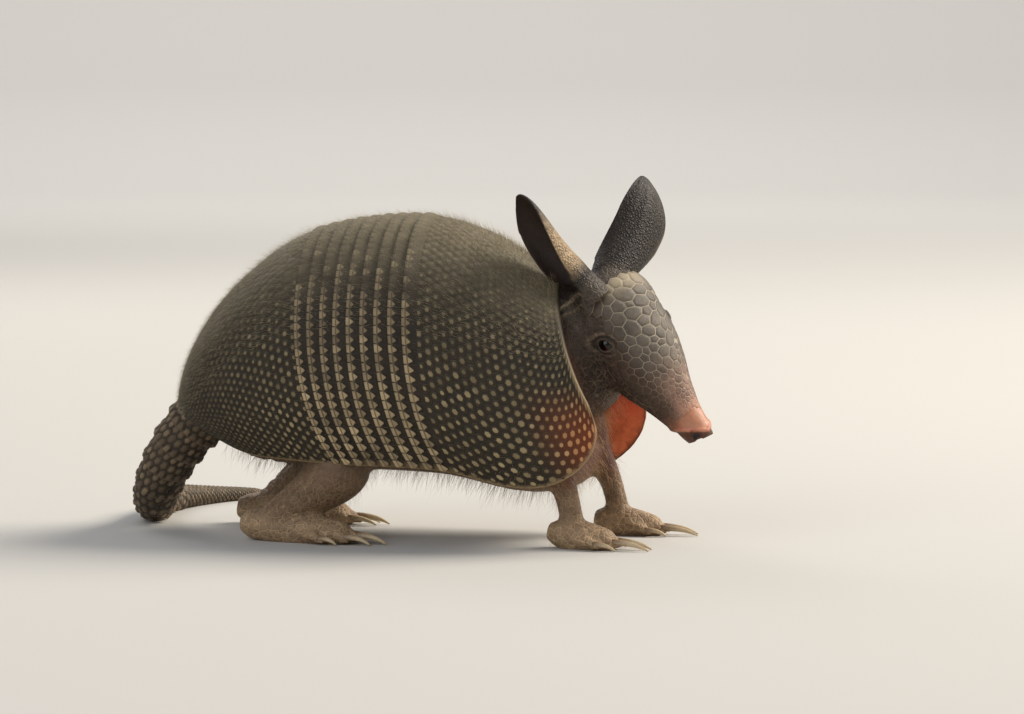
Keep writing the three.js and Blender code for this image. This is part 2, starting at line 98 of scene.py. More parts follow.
def values_of(items, key, width=1, kind=float):
    out = np.empty(len(items) * width, kind)
    items.foreach_get(key, out)
    return out.reshape(-1, width) if width > 1 else out


def points_of(piece):
    return values_of(piece.data.vertices, "co", 3)


def put_points(piece, points):
    piece.data.vertices.foreach_set("co", np.asarray(points, np.float32).ravel())
    piece.data.update()


def centres_of(piece):
    return values_of(piece.data.polygons, "center", 3)


def choose(piece, kind, mask):
    """Opens the piece in edit mode with just the masked points, edges or faces selected."""
    hold(piece)
    bpy.context.tool_settings.mesh_select_mode = SELECT_MODES[kind]
    mesh = piece.data
    parts = {"points": mesh.vertices, "edges": mesh.edges, "faces": mesh.polygons}
    for name, items in parts.items():
        flags = mask if name == kind else np.zeros(len(items), bool)
        items.foreach_set("select", np.asarray(flags, bool))
    bpy.ops.object.mode_set(mode="EDIT")


def done():
    bpy.ops.object.mode_set(mode="OBJECT")


def everything(piece):
    choose(piece, "faces", np.ones(len(piece.data.polygons), bool))


def face_outwards(piece):
    everything(piece)
    bpy.ops.mesh.normals_make_consistent(inside=False)
    done()


def merge_doubles(piece, distance):
    everything(piece)
    bpy.ops.mesh.remove_doubles(threshold=distance)
    done()


def apply_modifier(piece, kind, **settings):
    hold(piece)
    made = piece.modifiers.new(kind.title(), kind)
    for key, value in settings.items():
        setattr(made, key, value)
    bpy.ops.object.modifier_apply(modifier=made.name)


def smooth(piece):
    hold(piece)
    bpy.ops.object.shade_smooth()


def note(piece, **masks):
    """Stores one number for each point under each name, for the materials to read."""
    for name, amounts in masks.items():
        layer = piece.data.attributes.new(name, "FLOAT", "POINT")
        layer.data.foreach_set("value", np.asarray(amounts, np.float32))


def note_colour(piece, name, colours):
    layer = piece.data.attributes.new(name, "FLOAT_COLOR", "POINT")
    full = np.concatenate([colours, np.ones((len(colours), 1))], axis=1)
    layer.data.foreach_set("color", full.astype(np.float32).ravel())


def bake_map(piece, place):
    """A UV map called OFBake; place holds one (u, v) for each face corner."""
    while piece.data.uv_layers:
        piece.data.uv_layers.remove(piece.data.uv_layers[0])
    layer = piece.data.uv_layers.new(name="OFBake")
    layer.data.foreach_set("uv", np.clip(place, 0.001, 0.999).astype(np.float32).ravel())


def corners_of(piece):
    """The point and the face that each face corner belongs to."""
    point = values_of(piece.data.loops, "vertex_index", kind=np.int32)
    sides = values_of(piece.data.polygons, "loop_total", kind=np.int32)
    return point, np.repeat(np.arange(len(sides)), sides)


def copy_of(master, name):
    """A copy of a piece with a mesh of its own."""
    piece = master.copy()
    piece.data = master.data.copy()
    piece.name = name
    bpy.context.scene.collection.objects.link(piece)
    return piece


def flat_grid(name, columns, rows):
    """A grid two units wide and long round the origin, as the start of a sheet."""
    clear()
    bpy.ops.mesh.primitive_grid_add(x_subdivisions=columns, y_subdivisions=rows, size=2)
    piece = bpy.context.object
    piece.name = name
    return piece


def thicken(piece, height):
    """Turns a flat sheet into a closed slab by extruding it upwards."""
    everything(piece)
    bpy.ops.mesh.extrude_region_move(TRANSFORM_OT_translate={"value": (0, 0, height)})
    done()
    face_outwards(piece)


def inset(piece, faces, *steps):
    """Insets each of the faces by itself, once for each (width, rise)."""
    choose(piece, "faces", faces)
    for wide, up in steps:
        bpy.ops.mesh.inset(thickness=wide, depth=up, use_individual=True, use_even_offset=True)
    done()


def ease(t):
    t = np.clip(t, 0, 1)
    return t * t * (3 - 2 * t)


def ramp(value, low, high):
    """0 at low, 1 at high, smooth between."""
    return ease((value - low) / (high - low))


def bump_at(value, middle, width):
    return np.exp(-(((value - middle) / width) ** 2))


def colour(red, green, blue):
    """A screen colour, 0 to 255, as the linear colour that Blender mixes with."""
    c = np.array([red, green, blue]) / 255
    return np.where(c <= 0.04045, c / 12.92, ((c + 0.055) / 1.055) ** 2.4)


def finish(piece, material, slot, *nodes):
    """Gives a piece its material and its place in the object."""
    piece.data.materials.clear()
    piece.data.materials.append(material)
    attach(piece, "root")
    if nodes:
        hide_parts(*nodes)
    tris = sum(p.loop_total - 2 for p in piece.data.polygons)
    print(f"{piece.name}: {tris} triangles")


# %% [markdown]
# ## Camera, light and floor
# The camera stands a little in front of the animal's right side, close to the ground, with a long
# lens, so that the shell shows its side and the head comes forwards. A long lens could be faked by
# moving the camera back, but a real focal length keeps the picture true when the view changes.

# %% Camera
CAMERA_TURN, CAMERA_LIFT = math.radians(15), math.radians(4)
CAMERA_AWAY, CAMERA_LENS = 2.5, 167.0
low, high = (Vector(corner) for corner in cad_box)
middle = (low + high) / 2
aside = Vector((math.cos(CAMERA_TURN), math.sin(CAMERA_TURN), 0))
target = middle + 0.041 * aside - Vector((0, 0, 0.0037))
towards = Vector((math.sin(CAMERA_TURN) * math.cos(CAMERA_LIFT),
                  -math.cos(CAMERA_TURN) * math.cos(CAMERA_LIFT), math.sin(CAMERA_LIFT)))
clear()
bpy.ops.object.camera_add(location=target + CAMERA_AWAY * towards)
camera = bpy.context.object
camera.rotation_euler = towards.to_track_quat("Z", "Y").to_euler()
camera.data.lens, camera.data.sensor_width = CAMERA_LENS, 36
camera.data.dof.use_dof = False
bpy.context.scene.camera = camera
print("camera", [round(v, 3) for v in camera.location])

# %% [markdown]
# A wide, low dish of pale paint is both floor and backdrop, so that every side view has the same
# plain ground. The key light is large and warm, high on the right and a little behind the animal,
# as low sun would be; a weak fill stands near the camera.

# %% Floor
def plain(name, base, rough):
    material = bpy.data.materials.new(name)
    material.use_nodes = True
    shader = material.node_tree.nodes["Principled BSDF"]
    shader.inputs["Base Color"].default_value = (*base, 1)
    shader.inputs["Roughness"].default_value = rough
    return material


FLOOR_ACROSS = 5.0  # radius of the flat part, in metres
bpy.ops.mesh.primitive_circle_add(vertices=96, radius=FLOOR_ACROSS, fill_type="NGON")
floor = bpy.context.object
floor.name = "floor"
choose(floor, "edges", np.ones(len(floor.data.edges), bool))
for wider, up in ((1.25, 0.15), (1.18, 0.55), (1.1, 1.2), (1.04, 2.0)):
    bpy.ops.mesh.extrude_edges_move(TRANSFORM_OT_translate={"value": (0, 0, up)})
    bpy.ops.transform.resize(value=(wider, wider, 1), center_override=(0, 0, 0))
done()
smooth(floor)
floor.data.materials.append(plain("floor_paint", colour(196, 193, 187), 0.9))

# %% Lights
def lamp(name, place, size, watts, tint, aim=(0, 0, 0.08)):
    clear()
    bpy.ops.object.light_add(type="AREA", location=place)
    light = bpy.context.object
    light.name = name
    light.data.shape, light.data.size = "DISK", size
    light.data.energy, light.data.color = watts, tint
    light.rotation_euler = (Vector(place) - Vector(aim)).to_track_quat("Z", "Y").to_euler()


lamp("key", (2.4, 1.6, 2.45), 2.6, 210, (1.0, 0.93, 0.82))
lamp("fill", (-0.9, -2.4, 1.3), 2.0, 22, (0.93, 0.96, 1.0))
lamp("back", (-1.4, 1.8, 1.5), 1.2, 14, (1.0, 0.97, 0.92))
lamp("backdrop", (-1.2, 4.2, 3.4), 3.0, 120, (1.0, 0.98, 0.95), (-1.9, 7.4, 0.4))
world = bpy.data.worlds.new("studio")
world.use_nodes = True
world.node_tree.nodes["Background"].inputs["Color"].default_value = (0.86, 0.9, 1.0, 1)
world.node_tree.nodes["Background"].inputs["Strength"].default_value = 0.42
bpy.context.scene.world = world
bpy.context.scene.view_settings.view_transform = "Standard"

# %% [markdown]
# ## The form of the shell
# The shell is a dome that changes from a low notch at the tail to a high back and a narrower neck.
# It is kept as a short table of cross-sections, with smooth curves between them, so that any point
# on it follows from its distance along the ridge and its angle from the ridge. The eye gives the
# step from these drawing measures to the frame.

# %% Sections of shell and head
SHELL = {
    "s": [0, 10, 34, 79, 123, 182, 220, 265],
    "x": [-91.5, -85, -71.5, -54.5, -36, 20, 66, 120.5],
    "z": [54, 49.5, 45, 42.5, 41, 39, 31, 44.5],
    "lean": [60, 50, 36, 18, 4.5, 3.5, 8, 21],
    "height": [30, 42, 66, 95.5, 117.5, 127, 126.5, 97],
    "half": [42, 47, 54, 60, 62, 63, 60, 57],
}
SHELL_END, PELVIC_END, SHOULDER_START, BANDS = 265, 123, 182, 8
PITCH = (SHOULDER_START - PELVIC_END) / BANDS
BASE_ANGLE = math.radians(125)
SWEEP, LOBE_LENGTH, LOBE_ANGLE = 14, 42, math.radians(33)
HIP_LENGTH, HIP_ANGLE = 22, math.radians(24)
HEAD = {
    "s": [-2, 0, 3, 10, 20, 30, 42, 56, 72, 88, 99, 104],
    "half": [5.6, 7.6, 8.3, 9, 10.6, 13.4, 18, 22.2, 24.2, 22.6, 15.5, 7],
    "top": [9.4, 10.4, 10.8, 11, 11.8, 14, 17.8, 20.5, 22, 22.4, 16.2, 8],
    "bottom": [-1, -5, -6.4, -8.4, -11.8, -15.6, -20.2, -22.8, -23.2, -20, -13, -6],
}
HEAD_END = HEAD["s"][-1]
NOSE_AT = np.array([159.5, -11, 53])
EYE_BACK, EYE_LIFT, EYE_RADIUS, EYE_SUNK = 65.2, math.radians(22), 4.9, 3.4
NOSE_TILT, NOSE_FLAT = math.radians(20), -1.8  # the nose's flat end looks forward and down


def read(table, key, s):
    """A value between the rows of a table, on a smooth curve."""
    knots, values = np.array(table["s"], float), np.array(table[key], float)
    last = len(knots) - 1
    after, before = np.minimum(np.arange(last + 1) + 1, last), np.maximum(np.arange(last + 1) - 1, 0)
    slope = (values[after] - values[before]) / (knots[after] - knots[before])
    i = np.clip(np.searchsorted(knots, s, side="left") - 1, 0, last - 1)
    width = knots[i + 1] - knots[i]
    t = np.clip((s - knots[i]) / width, 0, 1)
    rise = values[i + 1] - values[i]
    return (values[i] + rise * t * t * (3 - 2 * t)
            + width * (slope[i] * t * (1 - t) ** 2 - slope[i + 1] * t * t * (1 - t)))


def shell_point(s, a, out=0.0):
    """The shell at distance s and angle a from the ridge, moved out by `out` millimetres."""
    lean = np.radians(read(SHELL, "lean", s))
    share = (np.cos(a) - math.cos(BASE_ANGLE)) / (1 - math.cos(BASE_ANGLE))
    rise = (read(SHELL, "height", s) + out) * share
    sweep = SWEEP * ramp(s, 40, PELVIC_END) * (1 - share) ** 4
    return np.stack([
        read(SHELL, "x", s) - rise * np.sin(lean) + sweep,
        (read(SHELL, "half", s) + out) * np.sin(a),
        read(SHELL, "z", s) + rise * np.cos(lean)], axis=-1)


def rim_angle(s):
    """The angle at which the shell ends, smaller at its rounded corners."""
    def corner(t):
        return 1 - np.sqrt(1 - np.clip(t, 0, 1) ** 2)
    return (BASE_ANGLE - LOBE_ANGLE * corner((s - SHELL_END + LOBE_LENGTH) / LOBE_LENGTH)
            - HIP_ANGLE * corner((HIP_LENGTH - s) / HIP_LENGTH))


HEAD_TURN = np.array(Matrix.Rotation(math.radians(-11), 3, "Z") @ Matrix.Rotation(math.radians(52), 3, "Y")
                     @ Matrix.Rotation(math.radians(29), 3, "X"))


def head_point(d, a, out=0.0):
    """The head, in its own frame, d behind the nose and at angle a up from the animal's left."""
    def round_off(value):
        return np.sign(value) * np.abs(value) ** 0.92
    top, bottom = read(HEAD, "top", d), read(HEAD, "bottom", d)
    return np.stack([
        -d + 0 * a, (read(HEAD, "half", d) + out) * round_off(np.cos(a)),
        (top + bottom) / 2 + ((top - bottom) / 2 + out) * round_off(np.sin(a))], axis=-1)


def from_head(points):
    return np.asarray(points) @ HEAD_TURN.T + NOSE_AT


def to_head(points):
    return (np.asarray(points) - NOSE_AT) @ HEAD_TURN


eye_at = head_point(EYE_BACK, EYE_LIFT, -EYE_SUNK)
EYES = {"left": eye_at, "right": eye_at * np.array([1, -1, 1])}
eye_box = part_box("eye_left")
SHIFT = np.array((eye_box[0] + eye_box[1]) / 2) / MM - from_head(EYES["left"])


def placed(points):
    """Drawing millimetres to metres in the frame."""
    return (np.asarray(points) + SHIFT) * MM


def unplaced(points):
    return np.asarray(points) / MM - SHIFT


print("shift", SHIFT.round(3))

# %% [markdown]
# ## Sheets of scutes
# The shell's skin is a mosaic of small bony scutes, each with a raised button in the middle and a
# groove round it. Carving them one by one would take for ever, and a bump texture would look flat
# against the light. Here a flat grid is turned into bricks by dissolving every second edge, the
# bricks into six-sided tiles by a zigzag, and three insets raise the buttons. Only then is the
# sheet bent over the body, so all tiles follow its form.

# %% Flat sheet of six-sided tiles
CELL = 4.9  # width of a flat tile; a row is shorter, so that all six sides are alike
ROW_SHARE = 0.866
ROW = ROW_SHARE * CELL
SEAM, BUTTON_RISE, CAP_RISE = -0.3, 0.42, 0.1
SEAM_EDGE, BUTTON_EDGE, BUTTON_SIDE, CAP_EDGE = 0.42, 0.5, 0.35, 0.42  # widths of the insets


def tile_sheet(name, across, along, thick):
    """Six-sided tiles, `across` by `along`, with raised buttons."""
    piece = flat_grid(name, 2 * across, along)
    everything(piece)
    bpy.ops.transform.resize(value=(across * CELL / 2, along * ROW / 2, 1), center_override=(0, 0, 0))
    bpy.ops.transform.translate(value=(0, along * ROW / 2, -thick))
    done()

    def grid_place():
        at = points_of(piece)
        return at, np.rint(at[:, 0] / (CELL / 2)).astype(int) + across, np.rint(at[:, 1] / ROW).astype(int)
    at, column, line = grid_place()
    a, b = values_of(piece.data.edges, "vertices", 2, np.int32).T
    split = (line[a] != line[b]) & ((column[a] + np.minimum(line[a], line[b])) % 2 == 1)
    split &= (column[a] > 0) & (column[a] < 2 * across)
    choose(piece, "edges", split)
    bpy.ops.mesh.dissolve_edges(use_verts=False)
    done()
    at, column, line = grid_place()
    inner = (line > 0) & (line < along)
    at[:, 1] += np.where(inner, np.where((column + line) % 2 == 0, ROW / 6, -ROW / 6), 0)
    put_points(piece, at)
    thicken(piece, thick + SEAM)
    inset(piece, centres_of(piece)[:, 2] > SEAM - 0.01, (SEAM_EDGE, -SEAM), (BUTTON_EDGE, 0.08),
          (BUTTON_SIDE, BUTTON_RISE), (CAP_EDGE, CAP_RISE))
    return piece


def tile_ids(points, across):
    """Which tile each flat point lies in, and that tile's middle."""
    j = np.floor(points[:, 1] / ROW).astype(int)
    # a seam zigzags a sixth of a row, so the nearest of three rows' middles decides
    nearest = None
    for try_row in (j - 1, j, j + 1):
        shift = np.where(try_row % 2 == 0, 0.0, 0.5)
        i = np.floor(points[:, 0] / CELL + across / 2 - shift)
        spot = np.stack([(i + shift + 0.5 - across / 2) * CELL, (try_row + 0.5) * ROW], axis=-1)
        away = np.linalg.norm(spot - points[:, :2], axis=1)
        found = (away, spot, (try_row + 1) * 1000 + i.astype(int) + 1)
        if nearest is None:
            nearest = [values.copy() for values in found]
            continue
        closer = away < nearest[0] - 1e-6
        for kept, values in zip(nearest, found):
            kept[closer] = values[closer]
    return nearest[2], nearest[1]


def luck(names, seed):
    """A number from 0 to 1 for each name, the same for equal names."""
    table = np.random.default_rng(seed).random(4096)
    return table[(names * 37 + seed * 101) % 4096]


sample = tile_sheet("trial_tiles", 6, 4, 3)
print("trial sheet:", len(sample.data.polygons), "faces for", 6 * 4, "tiles")
bpy.data.objects.remove(sample)

# %% [markdown]
# ## Finishes shared by the pieces
# Living surfaces are never one colour. Four effects are used again and again, so each is a node
# group with its own inputs: fine grain, blotches of colour, a mosaic of small scales, and the dust
# that settles where a surface faces up. A painted image would do too, but these have no seams and
# work at any distance. The groups give out only masks and heights; each material mixes its colours.

# %% Node groups
def new_group(name, inputs, outputs):
    group = bpy.data.node_groups.new(name, "ShaderNodeTree")
    for label, value in inputs.items():
        made = group.interface.new_socket(label, in_out="INPUT", socket_type="NodeSocketFloat")
        made.default_value = value
    for label in outputs:
        group.interface.new_socket(label, in_out="OUTPUT", socket_type="NodeSocketFloat")
    return group, group.nodes.new("NodeGroupInput"), group.nodes.new("NodeGroupOutput")


class Wires:
    """Adds nodes to one tree and links them."""

    def __init__(self, tree):
        self.tree = tree
        self.shader = tree.nodes.get("Principled BSDF")
        self.place = None

    def link(self, source, socket):
        if hasattr(source, "links"):
            self.tree.links.new(source, socket)
        else:
            socket.default_value = source

    def put(self, name, source):
        """Links a value to the shader's socket of that name, or sets it there."""
        self.link(source, self.shader.inputs[name])

    def object_place(self):
        if self.place is None:
            self.place = self.tree.nodes.new("ShaderNodeTexCoord").outputs["Object"]
        return self.place

    def math(self, operation, first, second=0.0, third=None, clamp=False):
        node = self.tree.nodes.new("ShaderNodeMath")
        node.operation, node.use_clamp = operation, clamp
        self.link(first, node.inputs[0])
        self.link(second, node.inputs[1])
        if third is not None:
            self.link(third, node.inputs[2])
        return node.outputs[0]

    def times(self, first, second, clamp=False):
        return self.math("MULTIPLY", first, second, clamp=clamp)

    def between(self, value, low, high, to_low=0.0, to_high=1.0):
        node = self.tree.nodes.new("ShaderNodeMapRange")
        node.interpolation_type = "SMOOTHSTEP"
        for socket, amount in zip(("Value", "From Min", "From Max", "To Min", "To Max"),
                                  (value, low, high, to_low, to_high)):
            self.link(amount, node.inputs[socket])
        return node.outputs["Result"]

    def mix(self, share, first, second, blend="MIX"):
        node = self.tree.nodes.new("ShaderNodeMix")
        node.data_type, node.blend_type = "RGBA", blend
        self.link(share, node.inputs[0])
        for amount, socket in ((first, node.inputs[6]), (second, node.inputs[7])):
            self.link(amount if hasattr(amount, "links") else (*amount, 1), socket)
        return node.outputs[2]

    def shade(self, tint, *factors):
        """A colour multiplied by three factors."""
        return self.mix(1.0, tint, factors, "MULTIPLY")

    def noise(self, scale, detail, rough):
        node = self.tree.nodes.new("ShaderNodeTexNoise")
        self.link(self.object_place(), node.inputs["Vector"])
        self.link(scale, node.inputs["Scale"])
        node.inputs["Detail"].default_value = detail
        node.inputs["Roughness"].default_value = rough
        return node.outputs["Fac"]

    def cells(self, scale, feature="F1", where=None, output="Distance"):
        node = self.tree.nodes.new("ShaderNodeTexVoronoi")
        node.feature = feature
        self.link(where or self.object_place(), node.inputs["Vector"])
        self.link(scale, node.inputs["Scale"])
        return node.outputs[output]

    def stored(self, name, output="Fac"):
        node = self.tree.nodes.new("ShaderNodeAttribute")
        node.attribute_name = name
        return node.outputs[output]

    def group(self, tree, **values):
        node = self.tree.nodes.new("ShaderNodeGroup")
        node.node_tree = tree
        for label, value in values.items():
            self.link(value, node.inputs[label.capitalize()])
        return node.outputs

    def bump(self, height, distance, strength, normal=None):
        node = self.tree.nodes.new("ShaderNodeBump")
        node.inputs["Strength"].default_value = strength
        node.inputs["Distance"].default_value = distance
        self.link(height, node.inputs["Height"])
        if normal is not None:
            self.link(normal, node.inputs["Normal"])
        return node.outputs["Normal"]


def make_grain():
    """Fine pores and hairs' roots: a height."""
    group, start, end = new_group("fine_grain", {"Scale": 900.0, "Coarse": 0.5}, ["Height"])
    w = Wires(group)
    scale = start.outputs["Scale"]
    fine = w.noise(scale, 3, 0.6)
    coarse = w.noise(w.times(scale, 0.23), 2, 0.5)
    w.link(w.math("ADD", w.times(coarse, start.outputs["Coarse"]), fine), end.inputs["Height"])
    return group


def make_blotches():
    """Soft patches of two sizes, as a mask."""
    group, start, end = new_group("blotches", {"Scale": 40.0, "Contrast": 0.5}, ["Mask"])
    w = Wires(group)
    scale, contrast = start.outputs["Scale"], start.outputs["Contrast"]
    wide = w.noise(scale, 2, 0.5)
    small = w.noise(w.times(scale, 5.3), 3, 0.6)
    both = w.math("ADD", w.times(wide, 0.6), w.times(small, 0.4))
    low, high = (w.math("MULTIPLY_ADD", contrast, way, 0.5) for way in (-0.24, 0.24))
    w.link(w.between(both, low, high), end.inputs["Mask"])
    return group


def make_mosaic():
    """Small scales: their height, seams and tone, and a rounder height for beads."""
    group, start, end = new_group("scale_mosaic", {"Scale": 400.0, "Seam": 0.1},
                                  ["Height", "Seams", "Tone", "Bead"])
    w = Wires(group)
    scale, seam = start.outputs["Scale"], start.outputs["Seam"]
    edge = w.cells(scale, "DISTANCE_TO_EDGE")
    parts = group.nodes.new("ShaderNodeSeparateColor")
    group.links.new(w.cells(scale, output="Color"), parts.inputs[0])
    w.link(w.between(edge, 0.0, w.times(seam, 2.6)), end.inputs["Height"])
    w.link(w.between(edge, 0.0, seam, 1.0, 0.0), end.inputs["Seams"])
    w.link(parts.outputs[0], end.inputs["Tone"])
    w.link(w.between(w.cells(scale), 0.1, 0.62, 1.0, 0.0), end.inputs["Bead"])
    return group


def make_dust():
    """Where the surface faces up, broken by noise: a mask."""
    group, start, end = new_group("dust_on_top", {"From": 0.2, "To": 0.95, "Scale": 160.0}, ["Mask"])
    w = Wires(group)
    facing = group.nodes.new("ShaderNodeNewGeometry")
    parts = group.nodes.new("ShaderNodeSeparateXYZ")
    group.links.new(facing.outputs["Normal"], parts.inputs[0])
    up = w.between(parts.outputs[2], start.outputs["From"], start.outputs["To"])
    broken = w.between(w.noise(start.outputs["Scale"], 3, 0.6), 0.3, 0.65, 0.5, 1.0)
    w.link(w.times(up, broken), end.inputs["Mask"])
    return group


GRAIN, BLOTCHES, MOSAIC, DUST = make_grain(), make_blotches(), make_mosaic(), make_dust()
print("groups", [g.name for g in bpy.data.node_groups])


# %% Materials and their fine surface
def new_material(name, rough, specular):
    material = bpy.data.materials.new(name)
    material.use_nodes = True
    w = Wires(material.node_tree)
    w.put("Roughness", rough)
    w.put("Specular IOR Level", specular)
    return material, w


def fine_surface(w, rough, pores, scales):
    """Pores over tiny scales, and the roughness that goes with them.

    rough is the smoothest and the roughest; pores are scale, coarseness and depth; scales are
    scale, seam, depth and strength.
    """
    grain = w.group(GRAIN, scale=pores[0], coarse=pores[1])["Height"]
    w.put("Roughness", w.between(grain, 0.4, 1.2, *rough))
    tiny = w.group(MOSAIC, scale=scales[0], seam=scales[1])["Height"]
    w.put("Normal", w.bump(grain, pores[2], 0.6, w.bump(tiny, *scales[2:])))


# %% [markdown]
# ## Shell finish
# On the living shell the buttons are pale and bony, the skin between them is dark brown, and along
# the back sun, dust and fine hair wash it all to one olive grey. The sheets store how high each
# point stands and a tone for each tile, so the material can tell button from groove. Light shining
# through the front lobes is painted in: an orange glow on their lower corners, and on their inside a
# red that a weak emission brightens.

# %% Shell material
SHELL_GROUND, SHELL_BUTTON, SHELL_BACK = colour(51, 43, 29), colour(176, 157, 118), colour(122, 111, 87)
BAND_GROUND, BAND_BUTTON = colour(45, 37, 26), colour(216, 191, 148)
SHELL_PORES, SHELL_SCALES = (1400.0, 0.8, 0.0002), (900.0, 0.16, 0.00022)


def shell_finish(name, ground, button, full=0.55):
    """Dark ground, pale buttons from the height `full` up, and the worn back over both."""
    material, w = new_material(name, 0.55, 0.35)
    lift, tone, inside = w.stored("lift"), w.stored("tone"), w.stored("inside")
    blotch = w.group(BLOTCHES, scale=70.0, contrast=0.7)["Mask"]
    dust = w.group(DUST, **{"from": 0.15, "to": 0.95})["Mask"]
    dark = w.mix(blotch, ground * 0.8, ground * 1.25)
    dark = w.mix(w.between(lift, -0.35, 0.0, 1.0, 0.0), dark, ground * 0.45)
    pale = w.mix(tone, button * 0.72, button * 1.15)
    pale = w.mix(w.times(blotch, 0.35), pale, ground * 1.5)
    body = w.mix(w.times(w.between(lift, 0.12, full), w.stored("paleness"), clamp=True), dark, pale)
    worn = w.mix(tone, SHELL_BACK * 0.88, SHELL_BACK * 1.12)
    worn = w.mix(w.between(lift, -0.2, 0.1, 0.45, 0.0), worn, SHELL_BACK * 0.4)
    body = w.mix(w.times(w.stored("topness"), 0.84), body, worn)
    # painted glow: the lower front corners of the lobes are painted orange, as light shining through them
    lit = w.mix(w.between(lift, 0.1, 0.4), colour(136, 62, 28), colour(226, 150, 88))
    body = w.mix(w.stored("glow"), body, lit)
    body = w.mix(w.times(dust, 0.25), body, colour(150, 138, 112))
    # painted glow: the inside of the front lobes is painted red and given a weak emission, as light shining
    # through the skin
    red = w.mix(w.stored("low"), colour(184, 58, 36), colour(222, 120, 76))
    red = w.mix(w.times(blotch, 0.5), red, colour(126, 40, 26))
    body = w.mix(inside, body, red)
    body = w.mix(w.stored("rim"), body, colour(176, 152, 114))
    w.put("Base Color", body)
    w.put("Emission Color", red)
    w.put("Emission Strength", w.times(inside, 0.2))
    fine_surface(w, (0.46, 0.72), SHELL_PORES, (*SHELL_SCALES, 0.55))
    return material


shell_paint = shell_finish("shell_scutes", SHELL_GROUND, SHELL_BUTTON)
band_paint = shell_finish("band_scutes", BAND_GROUND, BAND_BUTTON, full=0.36)

# %% [markdown]
# ## The two shields
# The pelvic shield covers the hips and the shoulder shield the shoulders. Each is one sheet of
# tiles. The rows are spaced by the size a tile has at that place, so the tiles stay six-sided while
# they shrink towards the tail.

# %% Bend a sheet over the back
def girth(s):
    """Length over the shell from rim to rim at distance s."""
    turn = np.linspace(-1, 1, 121)[None, :] * rim_angle(np.atleast_1d(s))[:, None]
    path = shell_point(np.atleast_1d(s)[:, None] + 0 * turn, turn)
    return np.linalg.norm(np.diff(path, axis=1), axis=2).sum(1)


FLANK = 1.2  # the angle from the ridge at which rows are spaced


def row_places(first, last, across):
    """The distances at which rows of tiles end, and a number of rows that keeps the tiles regular."""
    s = np.linspace(first, last, 400)
    step = np.linalg.norm(np.diff(shell_point(s, FLANK + 0 * s), axis=0), axis=1)
    tile = girth((s[1:] + s[:-1]) / 2) / across
    rows = np.concatenate([[0], np.cumsum(step / (ROW_SHARE * tile))])
    count = int(round(rows[-1]))
    return np.interp(np.linspace(0, rows[-1], count + 1), rows, s), count


def shell_masks(piece, s, a, lift, names, seed, inner=0.0, worn=1.0):
    """Notes the masks that the shell's finish reads."""
    side = np.abs(a)
    top = 1 - ramp(side + 0.18 * (luck(names, seed + 5) - 0.5), 0.35, 1.15)
    front, rear = ramp(s, 150, SHELL_END), 1 - 0.75 * (1 - ramp(s, 20, 110))
    chosen = ramp(luck(names, seed + 1) + 1.25 * ramp(side, 0.5, 1.35), 0.85, 1.15)
    strong = (0.6 + 0.4 * ramp(side, 1.1, 1.9)) * (0.6 + 0.4 * luck(names, seed + 4))
    # glow and inside say where light through the lobes is painted: glow on their lower front corners, inside
    # on their inner side
    note(piece, lift=lift, tone=luck(names, seed), topness=worn * top * (0.9 - 0.15 * front),
         paleness=chosen * strong * rear, glow=0.72 * ramp(s, 228, 262) * ramp(side, 1.4, 1.95),
         inside=inner * ramp(s, 222, 236) * ramp(side, 1.0, 1.25), low=ramp(side, 1.6, 2.0))


def unroll_map(piece, u, v, under, strip=(0.01, 0.06), sheet=(0.1, 0.89)):
    """The map of an unrolled sheet: its top fills most of it, and the hidden side has a strip."""
    point, face = corners_of(piece)
    u, v, hidden = u[point], v[point], under[face]
    v = np.where(hidden, strip[0] + strip[1] * v, sheet[0] + sheet[1] * v)
    bake_map(piece, np.stack([u, v], axis=1))


def settle(piece, spots, merge=0.0):
    """Moves a piece's points to their place on the animal, faces it outwards and smooths it."""
    put_points(piece, placed(spots))
    if merge:
        merge_doubles(piece, merge)
    face_outwards(piece)
    smooth(piece)


def shield(name, first, last, across, seed):
    """One sheet of tiles over the back, from one distance along the ridge to another."""
    ends, count = row_places(first, last, across)
    piece = tile_sheet(name, across, count, SHELL_THICK)
    at = points_of(piece)
    under = centres_of(piece)[:, 2] < SEAM - 0.05
    names, middles = tile_ids(at, across)
    raised = at[:, 2] > 0.04
    width, length = across * CELL, count * ROW

    def on_shell():
        s = np.interp(at[:, 1], np.arange(count + 1) * ROW, ends)
        return s, rim_angle(s) * at[:, 0] / (width / 2)
    s, a = on_shell()
    # buttons differ: larger low on the sides, small and worn on the back
    flank = ramp(np.abs(a), 0.55, 1.6)
    size = (0.58 + 0.4 * luck(names, seed + 2)) * (0.72 + 0.38 * flank)
    at[raised, :2] = (middles + (at[:, :2] - middles) * size[:, None])[raised]
    at[raised, 2] *= ((0.36 + 0.64 * flank) * (0.6 + 0.5 * luck(names, seed + 3)))[raised]
    groove = (at[:, 2] < 0) & (at[:, 2] > SEAM - 0.02)
    at[groove, 2] *= (0.5 + 0.5 * flank)[groove]
    lift = np.where(raised, at[:, 2] / (0.36 + 0.64 * flank), at[:, 2])
    s, a = on_shell()
    stops = np.linspace(first, last, 50)
    scale = np.interp(s, stops, girth(stops) / across / CELL)
    near_rim = np.minimum(width / 2 - np.abs(at[:, 0]), 40)
    front_rim = ramp(s, SHELL_END - 1.8, SHELL_END - 0.3) * ramp(np.abs(a), 0.8, 1.6)
    edge = np.maximum(1 - ramp(near_rim, 0.2, 1.6), front_rim)
    note(piece, rim=0.75 * edge * (at[:, 2] > -SHELL_THICK + 0.1))
    lining = at[:, 2] < SEAM - 0.05
    shell_masks(piece, s, a, lift, names, seed, lining & (near_rim > 1.5) & (s < SHELL_END - 2))
    unroll_map(piece, at[:, 0] / width + 0.5, at[:, 1] / length, under)
    settle(piece, shell_point(s, a, np.where(lining, at[:, 2], at[:, 2] * scale)))
    return piece


